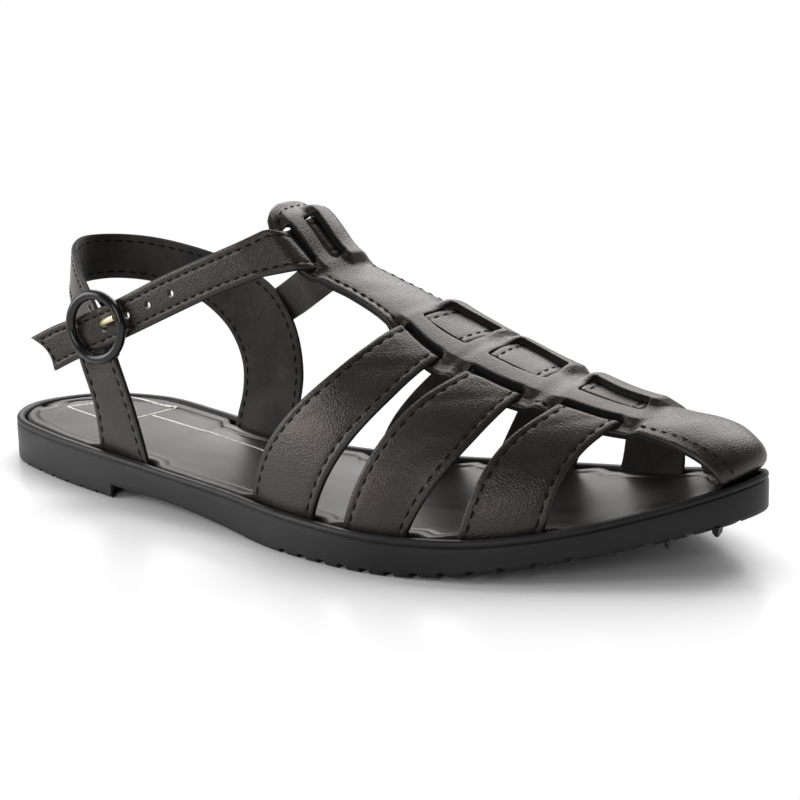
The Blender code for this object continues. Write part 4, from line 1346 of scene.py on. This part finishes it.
def add(tree, kind, inputs, out=0, **settings):
    """Adds one node with its settings, values and links, and returns the output in use."""
    node = tree.nodes.new(kind)
    for name, value in settings.items():
        setattr(node, name, value)
    wire(node, inputs)
    return node.outputs[out]


def finish(name):
    """A new material, its tree and its shader, and the place on the piece in metres."""
    made = bpy.data.materials.new(name)
    made.use_nodes = True
    tree = made.node_tree
    return made, tree, tree.nodes["Principled BSDF"], add(tree, "ShaderNodeTexCoord", {}, out="Object")


def faux_leather():
    """Faux leather, a polyurethane coat embossed with a fine grain: near black with a satin skin,
    tiny pebbles under a millimetre across and short slanting wrinkles that catch grazing light."""
    made, tree, shader, place = finish("faux_leather_black")
    # Slow changes of shade and gloss, a couple of centimetres across.
    drift = add(tree, "ShaderNodeTexNoise", {"Vector": place, "Scale": per_metre(22), "Detail": 3.0})
    tone = add(tree, "ShaderNodeMapRange", {"Value": drift, "From Min": 0.3, "From Max": 0.7})
    colours = {MIX_SHARE: tone, MIX_FROM: linear("#131212"), MIX_TO: linear("#201c1a")}
    colour = add(tree, "ShaderNodeMix", colours, out=MIX_COLOUR, data_type="RGBA")
    gloss = add(tree, "ShaderNodeMapRange", {"Value": tone, "To Min": 0.3, "To Max": 0.4})
    # Real pebbles are about 0.6 mm across. They are drawn a little coarser, so that they show.
    cells = {"Vector": place, "Scale": per_metre(0.85)}
    grain = add(tree, "ShaderNodeTexVoronoi", cells, feature="DISTANCE_TO_EDGE")
    pebble = add(tree, "ShaderNodeMapRange", {"Value": grain, "From Max": 0.32})
    fine = add(tree, "ShaderNodeBump", {"Height": pebble, "Strength": 0.5, "Distance": 0.00009})
    # Wrinkles lie aslant and come and go in patches.
    lie = {"Vector": place, "Scale": (0.42, 1.0, 0.8), "Rotation": (0.0, 0.5, 0.35)}
    slanted = add(tree, "ShaderNodeMapping", lie)
    creased = {"Vector": slanted, "Scale": per_metre(1.25), "Detail": 3.0, "Roughness": 0.6}
    wrinkle = add(tree, "ShaderNodeTexNoise", creased)
    patch = add(tree, "ShaderNodeTexNoise", {"Vector": slanted, "Scale": per_metre(14), "Detail": 2.0})
    spread = {"Value": patch, "From Min": 0.42, "From Max": 0.62, "To Min": 0.25}
    where = add(tree, "ShaderNodeMapRange", spread)
    wrinkled = add(tree, "ShaderNodeMath", {0: wrinkle, 1: where}, operation="MULTIPLY")
    folded = {"Height": wrinkled, "Normal": fine, "Strength": 0.45, "Distance": 0.00013}
    relief = add(tree, "ShaderNodeBump", folded)
    wire(shader, {"Base Color": colour, "Roughness": gloss, "Normal": relief})
    wire(shader, {"IOR": 1.5, "Specular Tint": linear("#f8eadf")})
    return made


def microfibre_lining():
    """Microfibre lining, brushed: dark grey-brown and matt, with a faint nap, crumpled by the foot."""
    made, tree, shader, place = finish("microfibre_lining")
    # The nap's fibres are finer than this. They are drawn at half a millimetre, so that they show.
    nap = add(tree, "ShaderNodeTexNoise", {"Vector": place, "Scale": per_metre(0.5), "Detail": 4.0})
    matt = {"Value": nap, "From Min": 0.3, "From Max": 0.7, "To Min": 0.62, "To Max": 0.78}
    rough = add(tree, "ShaderNodeMapRange", matt)
    cloud = add(tree, "ShaderNodeTexNoise", {"Vector": place, "Scale": per_metre(14), "Detail": 3.0})
    tone = add(tree, "ShaderNodeMapRange", {"Value": cloud, "From Min": 0.3, "From Max": 0.72})
    colours = {MIX_SHARE: tone, MIX_FROM: linear("#0b0a09"), MIX_TO: linear("#332b26")}
    colour = add(tree, "ShaderNodeMix", colours, out=MIX_COLOUR, data_type="RGBA")
    crushed = {"Vector": place, "Scale": per_metre(9), "Detail": 1.0, "Distortion": 0.8}
    crumple = add(tree, "ShaderNodeTexNoise", crushed)
    folds = add(tree, "ShaderNodeBump", {"Height": crumple, "Strength": 0.5, "Distance": 0.0012})
    brushed = {"Height": nap, "Normal": folds, "Strength": 0.4, "Distance": 0.00008}
    relief = add(tree, "ShaderNodeBump", brushed)
    wire(shader, {"Base Color": colour, "Roughness": rough, "Normal": relief})
    wire(shader, {"IOR": 1.35, "Sheen Weight": 0.15, "Sheen Roughness": 0.5})
    return made


def painted_edge():
    """Edge paint rolled on a cut edge: black, half matt, with small lumps along it."""
    made, tree, shader, place = finish("painted_edge")
    lumps = add(tree, "ShaderNodeTexNoise", {"Vector": place, "Scale": per_metre(0.7), "Detail": 3.0})
    matt = {"Value": lumps, "From Min": 0.3, "From Max": 0.7, "To Min": 0.7, "To Max": 0.85}
    rough = add(tree, "ShaderNodeMapRange", matt)
    relief = add(tree, "ShaderNodeBump", {"Height": lumps, "Strength": 0.5, "Distance": 0.0001})
    wire(shader, {"Base Color": linear("#090807"), "IOR": 1.4, "Roughness": rough, "Normal": relief})
    return made


def bonded_thread():
    """Bonded polyester thread, twisted: black and nearly matt, with a fine twist."""
    made, tree, shader, place = finish("bonded_thread")
    twist = add(tree, "ShaderNodeTexNoise", {"Vector": place, "Scale": per_metre(0.25), "Detail": 2.0})
    relief = add(tree, "ShaderNodeBump", {"Height": twist, "Strength": 0.5, "Distance": 0.00006})
    wire(shader, {"Base Color": linear("#050404"), "IOR": 1.25, "Roughness": 0.75, "Normal": relief})
    return made


def moulded_rubber():
    """Thermoplastic rubber, injection moulded: black satin, faintly mottled, with soft flow marks."""
    made, tree, shader, place = finish("moulded_rubber")
    mottle = add(tree, "ShaderNodeTexNoise", {"Vector": place, "Scale": per_metre(9), "Detail": 4.0})
    colours = {MIX_SHARE: mottle, MIX_FROM: linear("#09090a"), MIX_TO: linear("#101011")}
    colour = add(tree, "ShaderNodeMix", colours, out=MIX_COLOUR, data_type="RGBA")
    satin = {"Value": mottle, "From Min": 0.3, "From Max": 0.7, "To Min": 0.4, "To Max": 0.5}
    rough = add(tree, "ShaderNodeMapRange", satin)
    # Flow marks run along the wall, so they are stretched along the shoe and packed in height.
    drawn = add(tree, "ShaderNodeMapping", {"Vector": place, "Scale": (0.25, 0.25, 1.6)})
    flow = add(tree, "ShaderNodeTexNoise", {"Vector": drawn, "Scale": per_metre(4), "Detail": 2.0})
    marks = add(tree, "ShaderNodeBump", {"Height": flow, "Strength": 0.25, "Distance": 0.0002})
    skin = add(tree, "ShaderNodeTexNoise", {"Vector": place, "Scale": per_metre(0.6), "Detail": 3.0})
    sparked = {"Height": skin, "Normal": marks, "Strength": 0.22, "Distance": 0.00006}
    relief = add(tree, "ShaderNodeBump", sparked)
    wire(shader, {"Base Color": colour, "IOR": 1.37, "Roughness": rough, "Normal": relief})
    return made


def insole_cover():
    """Polyurethane cover over foam, smooth: charcoal brown, soft sheen, a faint grain and scuffs."""
    made, tree, shader, place = finish("insole_cover")
    cells = {"Vector": place, "Scale": per_metre(0.8)}
    grain = add(tree, "ShaderNodeTexVoronoi", cells, feature="DISTANCE_TO_EDGE")
    relief = add(tree, "ShaderNodeBump", {"Height": grain, "Strength": 0.2, "Distance": 0.00004})
    # Scuffs are drawn out along the foot.
    drawn = add(tree, "ShaderNodeMapping", {"Vector": place, "Scale": (0.4, 1.0, 1.0)})
    scuff = add(tree, "ShaderNodeTexNoise", {"Vector": drawn, "Scale": per_metre(16), "Detail": 4.0})
    colours = {MIX_SHARE: scuff, MIX_FROM: linear("#1e1a18"), MIX_TO: linear("#2a2522")}
    colour = add(tree, "ShaderNodeMix", colours, out=MIX_COLOUR, data_type="RGBA")
    sheen = {"Value": scuff, "From Min": 0.3, "From Max": 0.7, "To Min": 0.3, "To Max": 0.42}
    rough = add(tree, "ShaderNodeMapRange", sheen)
    wire(shader, {"Base Color": colour, "Roughness": rough, "Normal": relief})
    wire(shader, {"IOR": 1.38, "Specular Tint": linear("#f8eadf")})
    return made


def printed_ink():
    """Screen-printed ink: off-white and flat, a little broken where it is thin."""
    made, tree, shader, place = finish("printed_ink")
    worn = add(tree, "ShaderNodeTexNoise", {"Vector": place, "Scale": per_metre(1.2), "Detail": 3.0})
    tone = add(tree, "ShaderNodeMapRange", {"Value": worn, "From Min": 0.35, "From Max": 0.55})
    colours = {MIX_SHARE: tone, MIX_FROM: linear("#a9a5a0"), MIX_TO: linear("#e2dfda")}
    colour = add(tree, "ShaderNodeMix", colours, out=MIX_COLOUR, data_type="RGBA")
    wire(shader, {"Base Color": colour, "IOR": 1.5, "Roughness": 0.55})
    return made


def polished_acetal():
    """Acetal, moulded and polished: deep black with sharp highlights and faint waviness."""
    made, tree, shader, place = finish("polished_acetal")
    wave = add(tree, "ShaderNodeTexNoise", {"Vector": place, "Scale": per_metre(5), "Detail": 2.0})
    polish = {"Value": wave, "From Min": 0.3, "From Max": 0.7, "To Min": 0.1, "To Max": 0.18}
    rough = add(tree, "ShaderNodeMapRange", polish)
    relief = add(tree, "ShaderNodeBump", {"Height": wave, "Strength": 0.15, "Distance": 0.00012})
    wire(shader, {"Base Color": linear("#0b0b0c"), "IOR": 1.48, "Roughness": rough, "Normal": relief})
    return made


def plated_brass():
    """Brass-plated steel wire, drawn and tumbled: pale gold with a soft shine and fine marks."""
    made, tree, shader, place = finish("plated_brass")
    marks = add(tree, "ShaderNodeTexNoise", {"Vector": place, "Scale": per_metre(0.5), "Detail": 2.0})
    soft = {"Value": marks, "From Min": 0.3, "From Max": 0.7, "To Min": 0.34, "To Max": 0.46}
    rough = add(tree, "ShaderNodeMapRange", soft)
    wire(shader, {"Base Color": linear("#e6d9ae"), "Metallic": 1.0, "Roughness": rough})
    return made


# ---------------------------------------------------------------- studio

# Rings of floor round the sole: distance from the outline in millimetres, share of painted white glow that
# lifts the floor's real shadow and reflection to white.
FLOOR_RINGS = ((0.0, 0.0), (10.0, 0.0), (24.0, 0.15), (40.0, 0.5), (60.0, 0.8), (85.0, 0.96), (110.0, 1.0))
FLOOR_SPREAD = 45.0
FLOOR_CORE = 0.05

# Soft boxes. Columns: name, place and size in metres, watts. All aim at LIT, in metres.
SOFTBOXES = (
    ("rear_softbox", (-0.25, 0.85, 1.0), (1.7, 1.4), 27.0),
    ("left_softbox", (-0.88, -0.75, 0.45), (0.9, 0.8), 10.0),
    ("front_fill", (0.45, -1.2, 0.5), (0.6, 0.7), 4.5),
)
LIT = (0.09, 0.0, 0.03)

# Camera: direction and distance from a point on the floor, in the shoe's own millimetres.
CAMERA_AZIMUTH, CAMERA_ELEVATION, CAMERA_ROLL = 35.48, 12.82, -1.43
CAMERA_DISTANCE = 623.5
CAMERA_AIM = np.array([69.9, 114.4, 0.0])
CAMERA_LENS = 78.5


def make_floor():
    """Pale satin floor, shaded close to the sole, with a painted white glow over its shadow and reflection
    that grows away from the sole until it is plain white.
    """
    made, tree, shader, _ = finish("pale_floor")
    wire(shader, {"Base Color": linear("#f4f4f4"), "Roughness": 0.3, "IOR": 1.3})
    # Painted light: an emission glow, mixed in by this share, covers the floor's shadow and reflection, more
    # of it further from the sole.
    share = add(tree, "ShaderNodeAttribute", {}, out="Fac", attribute_name="painted_glow_share")
    glow = add(tree, "ShaderNodeEmission", {"Color": (1, 1, 1, 1), "Strength": 1.0})
    mixed = add(tree, "ShaderNodeMixShader", {0: share, 1: shader.outputs[0], 2: glow})
    wire(tree.nodes["Material Output"], {"Surface": mixed})
    middle = LOOP.mean(axis=0)
    rings = [middle + (LOOP - middle) * FLOOR_CORE] + [LOOP - INWARD * away for away, _ in FLOOR_RINGS]
    rings.append(middle + (rings[-1] - middle) * FLOOR_SPREAD)
    shares = [0.0] + [white for _, white in FLOOR_RINGS] + [1.0]
    size = len(LOOP)
    points = [(*((spot - HEEL_SEAT[:2]) * MM), 0.0) for ring in rings for spot in ring]
    mesh = bpy.data.meshes.new("studio_floor")
    mesh.from_pydata(points, [], [tuple(range(size))] + ring_faces(len(rings), size))
    mesh.attributes.new("painted_glow_share", "FLOAT", "POINT").data.foreach_set("value", np.repeat(shares, size))
    mesh.materials.append(made)
    floor = placed("studio_floor", mesh)


def aimed(name, data, place, back, roll=0.0):
    """A light or camera at a place in metres, its back turned towards a direction."""
    right = unit(np.cross((0, 0, 1), back))
    up = np.cross(back, right)
    across = right * math.cos(roll) + up * math.sin(roll)
    upright = up * math.cos(roll) - right * math.sin(roll)
    made = placed(name, data)
    turned = Matrix(np.column_stack([across, upright, back]).tolist()).to_4x4()
    made.matrix_world = Matrix.Translation(place) @ turned
    return made


def make_lights():
    for name, place, size, power in SOFTBOXES:
        light = bpy.data.lights.new(name, "AREA")
        light.shape = "RECTANGLE"
        light.size, light.size_y = size
        light.energy = power
        aimed(name, light, place, unit(np.array(place) - LIT))


def make_world():
    """White at the horizon, and above it a room that is lighter behind the shoe."""
    world = bpy.data.worlds.new("studio")
    bpy.context.scene.world = world
    world.use_nodes = True
    tree = world.node_tree
    place = add(tree, "ShaderNodeTexCoord", {}, out="Generated")
    facing = {0: place, 1: (-0.58, 0.80, 0.15)}
    turned = add(tree, "ShaderNodeVectorMath", facing, out="Value", operation="DOT_PRODUCT")
    room = {"Value": turned, "From Min": -0.75, "From Max": 0.35, "To Min": 0.1, "To Max": 0.43}
    behind = add(tree, "ShaderNodeMapRange", room)
    height = add(tree, "ShaderNodeSeparateXYZ", {0: place}, out="Z")
    low = {"Value": height, "From Min": 0.04, "From Max": 0.1, "To Min": 1.0, "To Max": 0.0}
    horizon = add(tree, "ShaderNodeMapRange", low)
    strength = add(tree, "ShaderNodeMath", {0: behind, 1: horizon}, operation="MAXIMUM")
    wire(tree.nodes["Background"], {"Color": (1, 1, 1, 1), "Strength": strength})


def make_camera():
    azimuth, elevation, roll = np.radians([CAMERA_AZIMUTH, CAMERA_ELEVATION, CAMERA_ROLL])
    flat = math.cos(elevation)
    back = np.array([math.sin(azimuth) * flat, -math.cos(azimuth) * flat, math.sin(elevation)])
    lens = bpy.data.cameras.new("studio_camera")
    lens.lens = CAMERA_LENS
    lens.sensor_width = 36.0
    place = (CAMERA_AIM + back * CAMERA_DISTANCE - HEEL_SEAT) * MM
    bpy.context.scene.camera = aimed("studio_camera", lens, place, back, roll)


def main():
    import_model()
    thread = bonded_thread()
    lining = microfibre_lining()
    leather = [faux_leather(), lining, painted_edge()]
    make_outsole(moulded_rubber())
    make_insole(insole_cover(), lining, printed_ink())
    make_vamp(leather, thread)
    for name, spans in CROSS_STRAPS:
        make_cross_strap(name, spans, leather, thread)
    make_quarter(leather, thread)
    make_ankle_strap(leather, thread)
    make_buckle(polished_acetal())
    make_prong(plated_brass())
    make_floor()
    make_world()
    make_lights()
    make_camera()
    bpy.context.scene.view_settings.view_transform = "Standard"


main()
